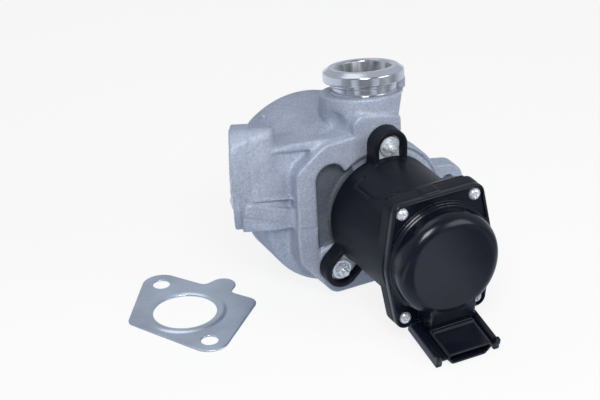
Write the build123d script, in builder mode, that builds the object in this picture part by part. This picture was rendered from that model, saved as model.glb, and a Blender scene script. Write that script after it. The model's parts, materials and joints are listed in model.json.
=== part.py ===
from build123d import *
import os
from math import cos, radians, sin, tan

# Exhaust gas recirculation valve, millimetres, +Z up.
# The origin is the centre of the inlet port at the flange face. The valve axis runs along -Y,
# from the gas chamber at the back to the electric actuator at the front.
# Heights "along the valve axis" are counted from the actuator's seat on the casting: positive
# ones lie in the actuator, negative ones lie in the casting.

# Gap between neighbouring pieces
part_gap = 0.1

# Valve axis, from the inlet port's centre
axis_x = 64.0
face_y = -32.0
axis_z = -20.0

# Gas chamber of the casting
chamber_radius = 42.0
chamber_x = -15.0
chamber_z = 0.8
chamber_front = 5.0
chamber_back = 64.0
chamber_round = 13.0
chamber_front_round = 4.0
casting_wall = 6.0

# Actuator plate of the casting
plate_left = 45.0
plate_top = 41.6
plate_bottom = 40.8
plate_thickness = 11.0
plate_corner_top = 16.0
plate_corner_bottom = 17.5
plate_corner_round = 7.0
corner_rise_top = 0.75
corner_rise_bottom = 1.25
plate_foot_end = 6.0
plate_foot_side = 27.0
pocket_foot = -20.0
pocket_top_end = -17.0
pocket_pad_margin = 1.4
pad_margin = 4.7
plate_rim_width = 7.6
plate_pocket_inset = 3.0
plate_pocket_depth = 3.0
floor_margin = 2.4

# Inlet flange and neck
inlet_turn = 25.5
port_radius = 14.0
port_lip_height = 1.2
port_lip_wall = 1.4
flange_thickness = 8.0
flange_bolt_angle = 50.0
flange_bolt_spacing = 61.0
flange_lobe_radius = 11.0
flange_core_radius = 25.5
flange_bolt_radius = 3.4
flange_bolt_depth = 15.0
neck_front = 16.0
neck_high = 14.0
neck_low = -10.5
neck_round = 10.0
neck_tube_radius = 19.5
neck_length = 62.0
neck_hollow_depth = 4.0
neck_hollow_high = -4.0
neck_hollow_low = -12.0
neck_face = 4.5
flange_boss_length = 16.0
port_bend_depth = 17.0
port_bend_height = 9.0

# Hose spigot
spigot_x = 4.5
spigot_y = 23.1
spigot_height = 66.0
spigot_lean_side = 4.7
spigot_lean_back = 11.6
spigot_bore_radius = 13.9
spigot_ring_radius = 20.9
spigot_ring_height = 6.4
spigot_ring_chamfer = 2.6
spigot_groove_radius = 16.3
spigot_groove_end = 12.2
spigot_neck_radius = 21.6
spigot_shoulder_width = 1.5
spigot_shoulder_height = 2.5
spigot_foot_radius = 17.5
spigot_foot_depth = 52.0
spigot_duct_radius = 9.5
spigot_duct_bend = 37.0
spigot_flat_top = 49.0

# Actuator lugs, screws and seats
lug_offset = 6.6
lug_angles = (87.0, 222.0, 334.0)
lug_radius = 9.8
lug_height = 10.0
lug_wall = 3.4
lug_boss_radius = 10.6
lug_screw_radius = 2.5
lug_screw_reach = 12.0
screw_hole_extra = 1.0
lug_flange_radius = 5.2
lug_flange_height = 1.3
lug_head_radius = 3.6
lug_head_height = 3.2
lug_head_round = 1.0
lug_tip_radius = 1.7
lug_tip_height = 3.4
lug_root_depth = 5.0
lug_floor = 2.0
lug_plate_thickness = 1.6
lug_sleeve_radius = 4.0

# Mounting ear of the casting
ear_x = 39.5
ear_z = 1.8
ear_radius = 8.7
ear_front = 4.0
ear_length = 10.0
ear_hole_radius = 3.3
ear_web_reach = 22.0
ear_web_rise = 2.0
ear_web_radius = 10.7

# Actuator body
body_radius = 29.0
body_length = 54.0
lug_circle_radius = body_radius + lug_offset
lug_root = body_radius - lug_root_depth
plate_pad_radius = body_radius + pad_margin
pocket_pad_radius = body_radius + pocket_pad_margin
block_depth = 7.4
block_corner_radius = 5.2
block_core_radius = 28.6
bulkhead_start = 24.4
bulkhead_thickness = 3.4
bulkhead_web = 1.0
spring_room_radius = 14.0
ramp_start = 16.0
ramp_low = 17.0
ramp_high = 31.8
ramp_gap = 2.2
ramp_half_width = 21.0
moulding_overlap = 1.0
body_seal_radius = 21.5
ring_seal_width = 3.0
ring_seal_depth = 1.6
cover_seal_radius = 27.1
cover_seal_width = 1.5

# Cover with dome and connector
cover_screw_x = 19.2
cover_screw_z = 27.7
cover_flange_thickness = 3.8
dome_radius = 26.7
dome_height = 12.6
dome_round = 6.0
dome_wall = 2.4
cover_screw_radius = 1.5
cover_screw_reach = 5.5
cover_head_radius = 3.0
cover_head_height = 2.4
cover_pocket_depth = 1.5
cover_pocket_radius = 4.4

connector_drop = 14.0
connector_reach = 11.0
connector_front = body_length + connector_reach
connector_top = 31.3
connector_length = 18.2
connector_half_width = 13.0
connector_height = 6.6
connector_wall = 1.3
connector_round = 1.1
connector_socket_depth = 14.0
connector_rail_width = 3.2
rail_root_width = 0.4
rail_drop = 0.2
rail_inset = 0.8
connector_neck_half_width = 11.3
connector_lip = 1.1
connector_lip_root = 0.4
neck_top = 12.0
neck_blend = 3.0
neck_rise = 2.0
rail_nose = 1.2
rail_root = 5.0
latch_half_width = 4.0
latch_depth = 5.0
latch_height = 1.3
pin_count = 5
pin_pitch = 4.0
pin_size = 0.8
pin_tip_inset = 3.0
pin_leg_offset = 0.3
pin_leg_top = 16.0

# Valve mechanism
stem_radius = 3.0
turned_chamfer = 0.6
running_clearance = 0.05
seat_clearance = 0.15
poppet_radius = 15.2
poppet_thickness = 2.6
poppet_back_slope = 4.0
port_throat_radius = 12.6
seat_outer_radius = 17.0
seat_height = 5.0
seat_chamfer = 1.0
seat_back = 30.5
guide_radius = 6.0
guide_length = 13.0
seal_radius = 8.0
seal_height = 4.0
seal_groove_outer = 5.6
seal_groove_inner = 4.0
stem_top = 22.0
retainer_height = 16.8
clip_groove = 0.7
stem_fillet = 1.5
front_cavity_radius = 15.0
front_cavity_end = 9.0
retainer_radius = 11.0
retainer_thickness = 1.8
retainer_hub_radius = 8.3
retainer_hub_height = 1.2
clip_height = 1.4
clip_radius = 5.4
spring_radius = 9.6
spring_wire = 0.8
spring_turns = 5

# Motor and spindle
can_radius = 26.0
can_wall = 1.6
can_recess = 1.5
can_length = body_length - bulkhead_start - bulkhead_thickness - part_gap - can_recess
magnet_thickness = 3.2
magnet_gap = 16.0
air_gap = 0.5
motor_ends = 12.1
core_start = 31.9
core_length = can_length - motor_ends
core_slots = 8
slot_width = 3.2
slot_depth = 8.0
slot_lip = 1.4
slot_mouth = 1.2
winding_overhang = 2.2
winding_inset = 1.0
sleeve_radius = 6.0
sleeve_bore = 4.8
spindle_radius = 3.0
spindle_flat = 5.0
spindle_flat_length = 11.0
sensor_gap = 1.8
nut_height = 13.5
bearing_radius = 10.5
bearing_height = 3.4
bearing_race = 1.5
bearing_shield_step = 0.4
commutator_radius = 9.4
commutator_height = 3.2
commutator_gap = 0.5
commutator_slot = 2.0
brush_width = 4.0
brush_length = 7.0
brush_height = 2.2
brush_card_thickness = 1.2
card_bore_gap = 1.0
brush_box_wall = 1.5
brush_box_start = 3.2
brush_box_length = 3.5
end_plate_thickness = 2.0
end_hub_height = 1.6
end_hub_wall = 1.4
sensor_magnet_radius = 3.3
sensor_magnet_length = 4.5
board_inset = 7.6
board_height = body_length + board_inset
pin_leg_front = board_height + pin_leg_offset
sensor_size = 5.0
sensor_width = 4.0
sensor_height = 1.6
spindle_length = board_height - sensor_height - sensor_gap - sensor_magnet_length - stem_top - part_gap
board_post_radius = 2.0
board_post_circle = 17.0
board_thickness = 1.6
board_radius = 21.0

# Gasket beside the valve
gasket_x = -33.3
gasket_y = -6.3
gasket_turn = -25.2
gasket_thickness = 0.9
gasket_bead = 1.2
gasket_bead_height = 0.7
gasket_port_radius = 15.7
gasket_hole_radius = 4.25
gasket_bolt_angle = 114.0
gasket_ear_radius = 9.7
gasket_lobe = (18.3, 24.0)
gasket_lobe_radius = 6.6
gasket_lobe_root = (12.8, 16.8)
gasket_lobe_root_radius = 8.6
gasket_side = (28.8, 5.0)
gasket_side_radius = 6.2
gasket_corner = (-22.4, -5.6)
gasket_corner_radius = 5.2
gasket_rim = 2.2

os.makedirs("parts", exist_ok=True)


def save(builder, name):
    """Label a finished sub-part and write its STEP file."""
    builder.part.label = name
    export_step(builder.part, f"parts/{name}.step")


# Datum planes
valve_plane = Plane(origin=(axis_x, face_y, axis_z), x_dir=(1, 0, 0), z_dir=(0, -1, 0))
inlet_out = (-cos(radians(inlet_turn)), sin(radians(inlet_turn)), 0)
inlet_front = (-sin(radians(inlet_turn)), -cos(radians(inlet_turn)), 0)
inlet_plane = Plane(origin=(0, 0, 0), x_dir=inlet_front, z_dir=inlet_out)
spigot_axis = Vector(tan(radians(spigot_lean_side)), tan(radians(spigot_lean_back)), 1).normalized()
spigot_plane = Plane(
    origin=(axis_x + spigot_x, face_y + spigot_y, axis_z + spigot_height),
    x_dir=(spigot_axis.Z, 0, -spigot_axis.X),
    z_dir=spigot_axis,
)
connector_plane = Plane(
    origin=(axis_x, face_y - connector_front, axis_z - connector_top),
    x_dir=(1, 0, 0),
    z_dir=(0, -cos(radians(connector_drop)), -sin(radians(connector_drop))),
)
side_plane = Plane(origin=(axis_x, face_y, axis_z), x_dir=(0, -1, 0), z_dir=(-1, 0, 0))
floor_z = axis_z - plate_bottom - floor_margin

lug_spots = [
    (lug_circle_radius * cos(radians(angle)), lug_circle_radius * sin(radians(angle)))
    for angle in lug_angles
]
cover_spots = [(x, z) for x in (-cover_screw_x, cover_screw_x) for z in (-cover_screw_z, cover_screw_z)]
bolt_x = flange_bolt_spacing / 2 * cos(radians(flange_bolt_angle))
bolt_z = flange_bolt_spacing / 2 * sin(radians(flange_bolt_angle))
flange_spots = [(bolt_x, bolt_z), (-bolt_x, -bolt_z)]

cavity_radius = chamber_radius - casting_wall
cavity_end = chamber_back - casting_wall
seat_front = seat_back - seat_height
guide_back = seal_height + guide_length
bend_start = (-port_bend_depth * inlet_out[0], -port_bend_depth * inlet_out[1], 0)
bend_end = (axis_x + chamber_x / 2, face_y + (seat_back + cavity_end) / 2, axis_z + port_bend_height)
bend_way = Vector(*bend_end) - Vector(*bend_start)
duct_drop = (spigot_height - spigot_duct_bend) / spigot_axis.Z
duct_top = spigot_plane.origin - spigot_axis * duct_drop
duct_foot = Vector(axis_x, duct_top.Y, axis_z)

# Gas chamber: a round drum with a well-rounded back
with BuildPart() as chamber_blank:
    with BuildSketch(valve_plane.offset(-chamber_back)):
        with Locations((chamber_x, chamber_z)):
            Circle(chamber_radius)
    extrude(amount=chamber_back - chamber_front)
    rims = chamber_blank.edges().filter_by(GeomType.CIRCLE).sort_by(Axis.Y)
    fillet(rims[-1], chamber_round)
    fillet(chamber_blank.edges().filter_by(GeomType.CIRCLE).sort_by(Axis.Y)[0], chamber_front_round)

# Actuator plate: cut corners on the left, round pad and three lug bosses
with BuildPart() as plate_blank:
    with BuildSketch(valve_plane.offset(-plate_thickness)):
        with BuildLine():
            Polyline(
                (0, plate_top),
                (plate_corner_top - plate_left, plate_top),
                (-plate_left, plate_top - plate_corner_top * corner_rise_top),
                (-plate_left, plate_corner_bottom * corner_rise_bottom - plate_bottom),
                (plate_corner_bottom - plate_left, -plate_bottom),
                (plate_foot_end, -plate_bottom),
                (plate_foot_side, 0),
                close=True,
            )
        make_face()
        fillet(vertices().sort_by(Axis.X)[:4], plate_corner_round)
        Circle(plate_pad_radius)
        with Locations(*lug_spots):
            Circle(lug_boss_radius)
    extrude(amount=plate_thickness)
    # Shallow pocket between the plate's rim and the round pad
    with BuildSketch(valve_plane):
        with BuildLine():
            Polyline(
                (pocket_top_end, 0),
                (pocket_top_end, plate_top - plate_rim_width),
                (plate_corner_top - plate_left + plate_pocket_inset, plate_top - plate_rim_width),
                (plate_rim_width - plate_left, plate_top - plate_corner_top),
                (plate_rim_width - plate_left, pocket_foot),
                (pocket_top_end, pocket_foot),
                close=True,
            )
        make_face()
        fillet(vertices().sort_by(Axis.X)[:3], plate_corner_round / 2)
        Circle(pocket_pad_radius, mode=Mode.SUBTRACT)
        with Locations(*lug_spots):
            Circle(lug_boss_radius, mode=Mode.SUBTRACT)
    extrude(amount=-plate_pocket_depth, mode=Mode.SUBTRACT)

# Casting: drum, plate, inlet neck and flange, spigot and ear, with its gas passages cut through
with BuildPart() as valve_housing:
    # Inlet neck: a tube round the port, squared off towards the front
    with BuildSketch(inlet_plane.offset(-neck_length)):
        Circle(neck_tube_radius)
        with Locations((neck_front, neck_high), (neck_front, neck_low)):
            Circle(neck_round)
        make_hull()
    extrude(amount=neck_length - flange_thickness / 2)
    # Flange with its two bolt lobes, and the longer bosses round the bolts
    with BuildSketch(inlet_plane.offset(-flange_thickness)):
        Circle(flange_core_radius)
        with Locations(*flange_spots):
            Circle(flange_lobe_radius)
        make_hull()
    extrude(amount=flange_thickness)
    with BuildSketch(inlet_plane.offset(-flange_boss_length)):
        with Locations(*flange_spots):
            Circle(flange_lobe_radius)
    extrude(amount=flange_boss_length)
    # The casting's front is cut flat, behind the face of the actuator plate
    with BuildSketch(valve_plane.offset(-neck_face)):
        with Locations((-axis_x, 0)):
            Rectangle(4 * axis_x, 4 * axis_x)
    extrude(amount=2 * axis_x, mode=Mode.SUBTRACT)
    # Three-cornered hollow low on the neck's flat front
    with BuildSketch(valve_plane.offset(-neck_face)):
        with BuildLine():
            Polyline(
                (-axis_x, -axis_z + neck_hollow_high),
                (-plate_left, -axis_z + neck_hollow_high),
                (-plate_left, -axis_z + neck_hollow_low),
                close=True,
            )
        make_face()
    extrude(amount=-neck_hollow_depth, mode=Mode.SUBTRACT)
    # Spigot: ring, hose groove and cast neck
    with BuildSketch(Plane(spigot_plane.origin, x_dir=spigot_plane.x_dir, z_dir=-spigot_plane.y_dir)):
        with BuildLine():
            Polyline(
                (0, 0),
                (spigot_ring_radius - spigot_ring_chamfer, 0),
                (spigot_ring_radius, -spigot_ring_chamfer),
                (spigot_ring_radius, -spigot_ring_height),
                (spigot_groove_radius, -spigot_ring_height),
                (spigot_groove_radius, -spigot_groove_end),
                (spigot_neck_radius - spigot_shoulder_width, -spigot_groove_end),
                (spigot_neck_radius, -spigot_groove_end - spigot_shoulder_height),
                (spigot_foot_radius, -spigot_foot_depth),
                (0, -spigot_foot_depth),
                close=True,
            )
        make_face()
    revolve(axis=Axis(spigot_plane.origin, spigot_plane.z_dir))
    with BuildSketch(valve_plane):
        with Locations((0, spigot_flat_top / 2)):
            Rectangle(4 * spigot_neck_radius, spigot_flat_top)
    extrude(amount=spigot_neck_radius, mode=Mode.SUBTRACT)
    add(chamber_blank.part)
    add(plate_blank.part)

    # Mounting ear with its web to the drum
    with BuildSketch(valve_plane.offset(-ear_front - ear_length)):
        with Locations((ear_x, ear_z)):
            Circle(ear_radius)
        with Locations((ear_x - ear_web_reach, ear_z + ear_web_rise)):
            Circle(ear_web_radius)
        make_hull()
    extrude(amount=ear_length)

    # Gasket lip round the inlet port
    with BuildSketch(inlet_plane):
        Circle(port_radius + port_lip_wall)
    extrude(amount=port_lip_height)

    # Rear gas cavity, seat pocket and front gas cavity on the valve axis
    with BuildSketch(valve_plane.offset(-cavity_end)):
        with Locations((chamber_x, chamber_z)):
            Circle(cavity_radius)
    extrude(amount=cavity_end - seat_back, mode=Mode.SUBTRACT)
    with BuildSketch(valve_plane.offset(-seat_back)):
        Circle(seat_outer_radius + part_gap / 2)
    extrude(amount=seat_height, mode=Mode.SUBTRACT)
    with BuildSketch(valve_plane.offset(-seat_front)):
        Circle(front_cavity_radius)
    extrude(amount=seat_front - front_cavity_end, mode=Mode.SUBTRACT)

    # Inlet passage: straight from the port, then a bend into the rear cavity
    with BuildSketch(inlet_plane.offset(-port_bend_depth)):
        Circle(port_radius)
    extrude(amount=port_bend_depth + port_lip_height, mode=Mode.SUBTRACT)
    with Locations(bend_start):
        Sphere(port_radius, mode=Mode.SUBTRACT)
    with BuildSketch(Plane(bend_start, z_dir=bend_way)):
        Circle(port_radius)
    extrude(amount=bend_way.length, mode=Mode.SUBTRACT)

    # Outlet passage: spigot bore, then a narrower drop to the front cavity
    with BuildSketch(spigot_plane):
        Circle(spigot_bore_radius)
    extrude(amount=-duct_drop, mode=Mode.SUBTRACT)
    with BuildSketch(Plane(duct_top, z_dir=duct_foot - duct_top)):
        Circle(spigot_duct_radius)
    extrude(amount=(duct_foot - duct_top).length, mode=Mode.SUBTRACT)

    # Seats of the stem's guide and seal
    with BuildSketch(valve_plane):
        Circle(seal_radius + part_gap / 2)
    extrude(amount=-seal_height, mode=Mode.SUBTRACT)
    with BuildSketch(valve_plane):
        Circle(guide_radius + part_gap / 2)
    extrude(amount=-front_cavity_end, mode=Mode.SUBTRACT)

    # Threaded holes of the lug screws and the flange bolts, and the ear's hole
    with BuildSketch(valve_plane):
        with Locations(*lug_spots):
            Circle(lug_screw_radius + part_gap / 2)
    extrude(amount=-lug_screw_reach - screw_hole_extra, mode=Mode.SUBTRACT)
    with BuildSketch(inlet_plane):
        with Locations(*flange_spots):
            Circle(flange_bolt_radius)
    extrude(amount=-flange_bolt_depth, mode=Mode.SUBTRACT)
    with BuildSketch(valve_plane.offset(-ear_front)):
        with Locations((ear_x, ear_z)):
            Circle(ear_hole_radius)
    extrude(amount=-ear_length, mode=Mode.SUBTRACT)
save(valve_housing, "valve_housing")

# Hard seat ring between the two gas cavities
with BuildPart() as seat_ring:
    with BuildSketch(valve_plane.offset(-seat_back)):
        Circle(seat_outer_radius)
        Circle(port_throat_radius, mode=Mode.SUBTRACT)
    extrude(amount=seat_height)
    front_rims = seat_ring.edges().filter_by(GeomType.CIRCLE).group_by(Axis.Y)[0]
    chamfer(front_rims.sort_by(SortBy.RADIUS)[0], seat_chamfer)
save(seat_ring, "seat_ring")

# Poppet: stem with a mushroom head behind the seat
with BuildPart() as poppet_valve:
    with BuildSketch(side_plane):
        head_front = -seat_back - seat_clearance
        with BuildLine():
            Polyline(
                (stem_top, 0),
                (stem_top, stem_radius - turned_chamfer),
                (stem_top - turned_chamfer, stem_radius),
                (retainer_height + retainer_thickness + clip_height, stem_radius),
                (retainer_height + retainer_thickness + clip_height, stem_radius - clip_groove),
                (retainer_height + retainer_thickness, stem_radius - clip_groove),
                (retainer_height + retainer_thickness, stem_radius),
                (head_front + stem_fillet, stem_radius),
                (head_front, stem_radius + stem_fillet),
                (head_front, poppet_radius),
                (head_front - poppet_thickness / 2, poppet_radius),
                (head_front - poppet_thickness, poppet_radius - poppet_back_slope),
                (head_front - poppet_thickness, 0),
                close=True,
            )
        make_face()
    revolve(axis=Axis(valve_plane.origin, valve_plane.z_dir))
save(poppet_valve, "poppet_valve")

# Guide bush of the stem, and the gas seal in front of it
with BuildPart() as stem_guide:
    with BuildSketch(valve_plane.offset(-guide_back)):
        Circle(guide_radius)
        Circle(stem_radius + running_clearance, mode=Mode.SUBTRACT)
    extrude(amount=guide_length)
    chamfer(stem_guide.edges().filter_by(GeomType.CIRCLE).sort_by(SortBy.RADIUS)[-2:], turned_chamfer)
save(stem_guide, "stem_guide")

with BuildPart() as stem_seal:
    with BuildSketch(valve_plane.offset(-seal_height)):
        Circle(seal_radius)
        Circle(stem_radius + running_clearance, mode=Mode.SUBTRACT)
    extrude(amount=seal_height)
    with BuildSketch(valve_plane):
        Circle(seal_groove_outer)
        Circle(seal_groove_inner, mode=Mode.SUBTRACT)
    extrude(amount=-seal_height / 2, mode=Mode.SUBTRACT)
save(stem_seal, "stem_seal")

# Spring retainer, its split clip and the return spring
with BuildPart() as spring_retainer:
    with BuildSketch(valve_plane.offset(retainer_height)):
        Circle(retainer_radius)
    extrude(amount=retainer_thickness)
    with BuildSketch(valve_plane.offset(retainer_height)):
        Circle(retainer_hub_radius)
    extrude(amount=-retainer_hub_height)
    with BuildSketch(valve_plane.offset(retainer_height - retainer_hub_height)):
        Circle(stem_radius + part_gap / 2)
    extrude(amount=retainer_thickness + retainer_hub_height, mode=Mode.SUBTRACT)
save(spring_retainer, "spring_retainer")

with BuildPart() as retainer_clip:
    with BuildSketch(valve_plane.offset(retainer_height + retainer_thickness + part_gap / 2)):
        Circle(clip_radius)
        Circle(stem_radius - clip_groove + part_gap / 2, mode=Mode.SUBTRACT)
        with Locations((clip_radius, 0)):
            Rectangle(2 * clip_radius, 2 * stem_radius - 2 * clip_groove, mode=Mode.SUBTRACT)
    extrude(amount=clip_height - part_gap)
save(retainer_clip, "retainer_clip")

spring_length = retainer_height - 2 * spring_wire - 2 * part_gap
with BuildPart() as return_spring:
    with BuildLine() as spring_path:
        Helix(
            pitch=spring_length / spring_turns,
            height=spring_length,
            radius=spring_radius,
            center=valve_plane.offset(spring_wire + part_gap).origin,
            direction=valve_plane.z_dir,
        )
    with BuildSketch(Plane(spring_path.line @ 0, z_dir=spring_path.line % 0)):
        Circle(spring_wire)
    sweep(is_frenet=True)
save(return_spring, "return_spring")

# Actuator body: round barrel, square front block, three open lugs and the sloping top housing
with BuildPart() as actuator_body:
    with BuildSketch(valve_plane):
        Circle(body_radius)
    extrude(amount=body_length)
    with BuildSketch(valve_plane.offset(body_length - block_depth)):
        Circle(block_core_radius)
        with Locations(*cover_spots):
            Circle(block_corner_radius)
        make_hull()
    extrude(amount=block_depth)
    with BuildSketch(side_plane):
        with BuildLine():
            Polyline(
                (ramp_start, 0),
                (ramp_start, ramp_low),
                (body_length - block_depth - ramp_gap, ramp_high),
                (body_length - block_depth - ramp_gap, ramp_low),
                (body_length - moulding_overlap, ramp_low),
                (body_length - moulding_overlap, 0),
                close=True,
            )
        make_face()
    extrude(amount=ramp_half_width, both=True)
    # Lugs: a U-shaped wall round each screw
    for angle in lug_angles:
        way = (cos(radians(angle)), sin(radians(angle)))
        with BuildSketch(valve_plane):
            with Locations((lug_circle_radius * way[0], lug_circle_radius * way[1])):
                Circle(lug_radius)
            with Locations((lug_root * way[0], lug_root * way[1])):
                Circle(lug_radius)
            make_hull()
        extrude(amount=lug_height)
    for angle in lug_angles:
        way = (cos(radians(angle)), sin(radians(angle)))
        with BuildSketch(valve_plane.offset(lug_floor)):
            with Locations((lug_circle_radius * way[0], lug_circle_radius * way[1])):
                Circle(lug_radius - lug_wall)
            with Locations((lug_root * way[0], lug_root * way[1])):
                Circle(lug_radius - lug_wall)
            make_hull()
            Circle(body_radius, mode=Mode.SUBTRACT)
        extrude(amount=lug_height, mode=Mode.SUBTRACT)
    with BuildSketch(valve_plane):
        with Locations(*lug_spots):
            Circle(lug_sleeve_radius + part_gap / 2)
    extrude(amount=lug_floor, mode=Mode.SUBTRACT)
    # Spring room, front bearing seat, spindle hole and motor room
    with BuildSketch(valve_plane):
        Circle(spring_room_radius)
    extrude(amount=bulkhead_start, mode=Mode.SUBTRACT)
    with BuildSketch(valve_plane.offset(bulkhead_start)):
        Circle(spindle_radius + running_clearance)
        Rectangle(2 * body_radius, spindle_flat + 2 * running_clearance, mode=Mode.INTERSECT)
    extrude(amount=bulkhead_thickness, mode=Mode.SUBTRACT)
    with BuildSketch(valve_plane.offset(bulkhead_start + bulkhead_web)):
        Circle(bearing_radius + part_gap / 2)
    extrude(amount=bulkhead_thickness, mode=Mode.SUBTRACT)
    with BuildSketch(valve_plane.offset(bulkhead_start + bulkhead_thickness)):
        Circle(can_radius + part_gap / 2)
    extrude(amount=body_length, mode=Mode.SUBTRACT)
    # Grooves of the two ring seals
    with BuildSketch(valve_plane):
        Circle(body_seal_radius + ring_seal_width / 2)
        Circle(body_seal_radius - ring_seal_width / 2, mode=Mode.SUBTRACT)
    extrude(amount=ring_seal_depth, mode=Mode.SUBTRACT)
    with BuildSketch(valve_plane.offset(body_length)):
        Circle(cover_seal_radius + cover_seal_width / 2)
        Circle(cover_seal_radius - cover_seal_width / 2, mode=Mode.SUBTRACT)
    extrude(amount=-ring_seal_depth, mode=Mode.SUBTRACT)
    with BuildSketch(valve_plane.offset(body_length)):
        with Locations(*cover_spots):
            Circle(cover_screw_radius + part_gap / 2)
    extrude(amount=-cover_screw_reach - screw_hole_extra, mode=Mode.SUBTRACT)
save(actuator_body, "actuator_body")

# Ring seals under the body and under the cover
with BuildPart() as body_seal:
    with BuildSketch(valve_plane.offset(part_gap / 2)):
        Circle(body_seal_radius + ring_seal_width / 2 - part_gap)
        Circle(body_seal_radius - ring_seal_width / 2 + part_gap, mode=Mode.SUBTRACT)
    extrude(amount=ring_seal_depth - part_gap)
save(body_seal, "body_seal")

with BuildPart() as cover_seal:
    with BuildSketch(valve_plane.offset(body_length - part_gap / 2)):
        Circle(cover_seal_radius + cover_seal_width / 2 - part_gap)
        Circle(cover_seal_radius - cover_seal_width / 2 + part_gap, mode=Mode.SUBTRACT)
    extrude(amount=-ring_seal_depth + part_gap)
save(cover_seal, "cover_seal")

# Steel seats in the lugs: a U-shaped plate with a sleeve through the lug's floor
with BuildPart() as lug_plates:
    for angle in lug_angles:
        way = (cos(radians(angle)), sin(radians(angle)))
        with BuildSketch(valve_plane.offset(lug_floor)):
            with Locations((lug_circle_radius * way[0], lug_circle_radius * way[1])):
                Circle(lug_radius - lug_wall - part_gap)
            with Locations((lug_root * way[0], lug_root * way[1])):
                Circle(lug_radius - lug_wall - part_gap)
            make_hull()
            Circle(body_radius + part_gap, mode=Mode.SUBTRACT)
        extrude(amount=lug_plate_thickness)
    with BuildSketch(valve_plane):
        with Locations(*lug_spots):
            Circle(lug_sleeve_radius)
    extrude(amount=lug_floor)
    with BuildSketch(valve_plane):
        with Locations(*lug_spots):
            Circle(lug_screw_radius + part_gap)
    extrude(amount=lug_height, mode=Mode.SUBTRACT)
save(lug_plates, "lug_plates")

# Lug screws: flange, six-lobed head and a small tip
screw_seat = lug_floor + lug_plate_thickness
with BuildPart() as lug_screws:
    with BuildSketch(valve_plane.offset(-lug_screw_reach)):
        with Locations(*lug_spots):
            Circle(lug_screw_radius)
    extrude(amount=lug_screw_reach + screw_seat)
    with BuildSketch(valve_plane.offset(screw_seat)):
        with Locations(*lug_spots):
            Circle(lug_flange_radius)
    extrude(amount=lug_flange_height)
    with BuildSketch(valve_plane.offset(screw_seat)):
        with Locations(*lug_spots):
            RegularPolygon(lug_head_radius, 6)
        fillet(vertices(), lug_head_round)
    extrude(amount=lug_flange_height + lug_head_height)
    with BuildSketch(valve_plane.offset(screw_seat)):
        with Locations(*lug_spots):
            Circle(lug_tip_radius)
    extrude(amount=lug_flange_height + lug_head_height + lug_tip_height)
save(lug_screws, "lug_screws")

# Motor: steel can, arc magnets, end plate and bearings
can_start = bulkhead_start + bulkhead_thickness + part_gap
can_end = can_start + can_length
with BuildPart() as motor_can:
    with BuildSketch(valve_plane.offset(can_start)):
        Circle(can_radius)
    extrude(amount=can_length)
    with BuildSketch(valve_plane.offset(can_start + can_wall)):
        Circle(can_radius - can_wall)
    extrude(amount=can_length, mode=Mode.SUBTRACT)
    with BuildSketch(valve_plane.offset(can_start)):
        Circle(bearing_radius + part_gap / 2)
    extrude(amount=can_wall, mode=Mode.SUBTRACT)
save(motor_can, "motor_can")

magnet_outer = can_radius - can_wall - part_gap / 2
magnet_inner = magnet_outer - magnet_thickness
core_radius = magnet_inner - air_gap
with BuildPart() as field_magnets:
    with BuildSketch(valve_plane.offset(core_start)):
        Circle(magnet_outer)
        Circle(magnet_inner, mode=Mode.SUBTRACT)
        Rectangle(magnet_gap, 2 * can_radius, mode=Mode.SUBTRACT)
    extrude(amount=core_length)
save(field_magnets, "field_magnets")

with BuildPart() as rotor_core:
    with BuildSketch(valve_plane.offset(core_start)):
        Circle(core_radius)
        Circle(sleeve_radius + part_gap / 4, mode=Mode.SUBTRACT)
        with PolarLocations(core_radius - slot_depth / 2 - slot_lip, core_slots):
            Rectangle(slot_depth, slot_width, mode=Mode.SUBTRACT)
        with PolarLocations(core_radius - slot_lip / 2, core_slots):
            Rectangle(2 * slot_lip, slot_mouth, mode=Mode.SUBTRACT)
    extrude(amount=core_length)
save(rotor_core, "rotor_core")

# Winding: a bar of wire in each slot, joined by a ring at both ends
slot_centre = core_radius - slot_depth / 2 - slot_lip
with BuildPart() as rotor_winding:
    with BuildSketch(valve_plane.offset(core_start - winding_overhang)):
        with PolarLocations(slot_centre, core_slots):
            Rectangle(slot_depth - 2 * part_gap, slot_width - 2 * part_gap)
    extrude(amount=core_length + 2 * winding_overhang)
    for level in (core_start - winding_overhang, core_start + core_length + part_gap):
        with BuildSketch(valve_plane.offset(level)):
            Circle(core_radius - slot_lip - winding_inset)
            Circle(slot_centre - slot_depth / 2 + part_gap, mode=Mode.SUBTRACT)
        extrude(amount=winding_overhang - part_gap)
save(rotor_winding, "rotor_winding")

sleeve_start = bulkhead_start + bulkhead_web + part_gap
sleeve_end = can_end + end_hub_height
commutator_start = core_start + core_length + winding_overhang + part_gap
with BuildPart() as rotor_sleeve:
    with BuildSketch(valve_plane.offset(sleeve_start)):
        Circle(sleeve_radius)
        Circle(sleeve_bore, mode=Mode.SUBTRACT)
    extrude(amount=sleeve_end - sleeve_start)
save(rotor_sleeve, "rotor_sleeve")

with BuildPart() as commutator:
    with BuildSketch(valve_plane.offset(commutator_start)):
        Circle(commutator_radius)
        Circle(sleeve_radius + part_gap / 4, mode=Mode.SUBTRACT)
        with PolarLocations(commutator_radius, core_slots):
            Rectangle(commutator_slot, commutator_gap, mode=Mode.SUBTRACT)
    extrude(amount=commutator_height)
save(commutator, "commutator")


def sealed_bearing(level):
    """One closed ring with a slightly sunk shield between its races."""
    inner = sleeve_radius + running_clearance
    outer = bearing_radius
    with BuildPart() as bearing:
        with BuildSketch(valve_plane.offset(level)):
            Circle(outer)
            Circle(inner, mode=Mode.SUBTRACT)
        extrude(amount=bearing_height)
        for start in (level, level + bearing_height - bearing_shield_step):
            with BuildSketch(valve_plane.offset(start)):
                Circle(outer - bearing_race)
                Circle(inner + bearing_race, mode=Mode.SUBTRACT)
            extrude(amount=bearing_shield_step, mode=Mode.SUBTRACT)
    return bearing


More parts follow.
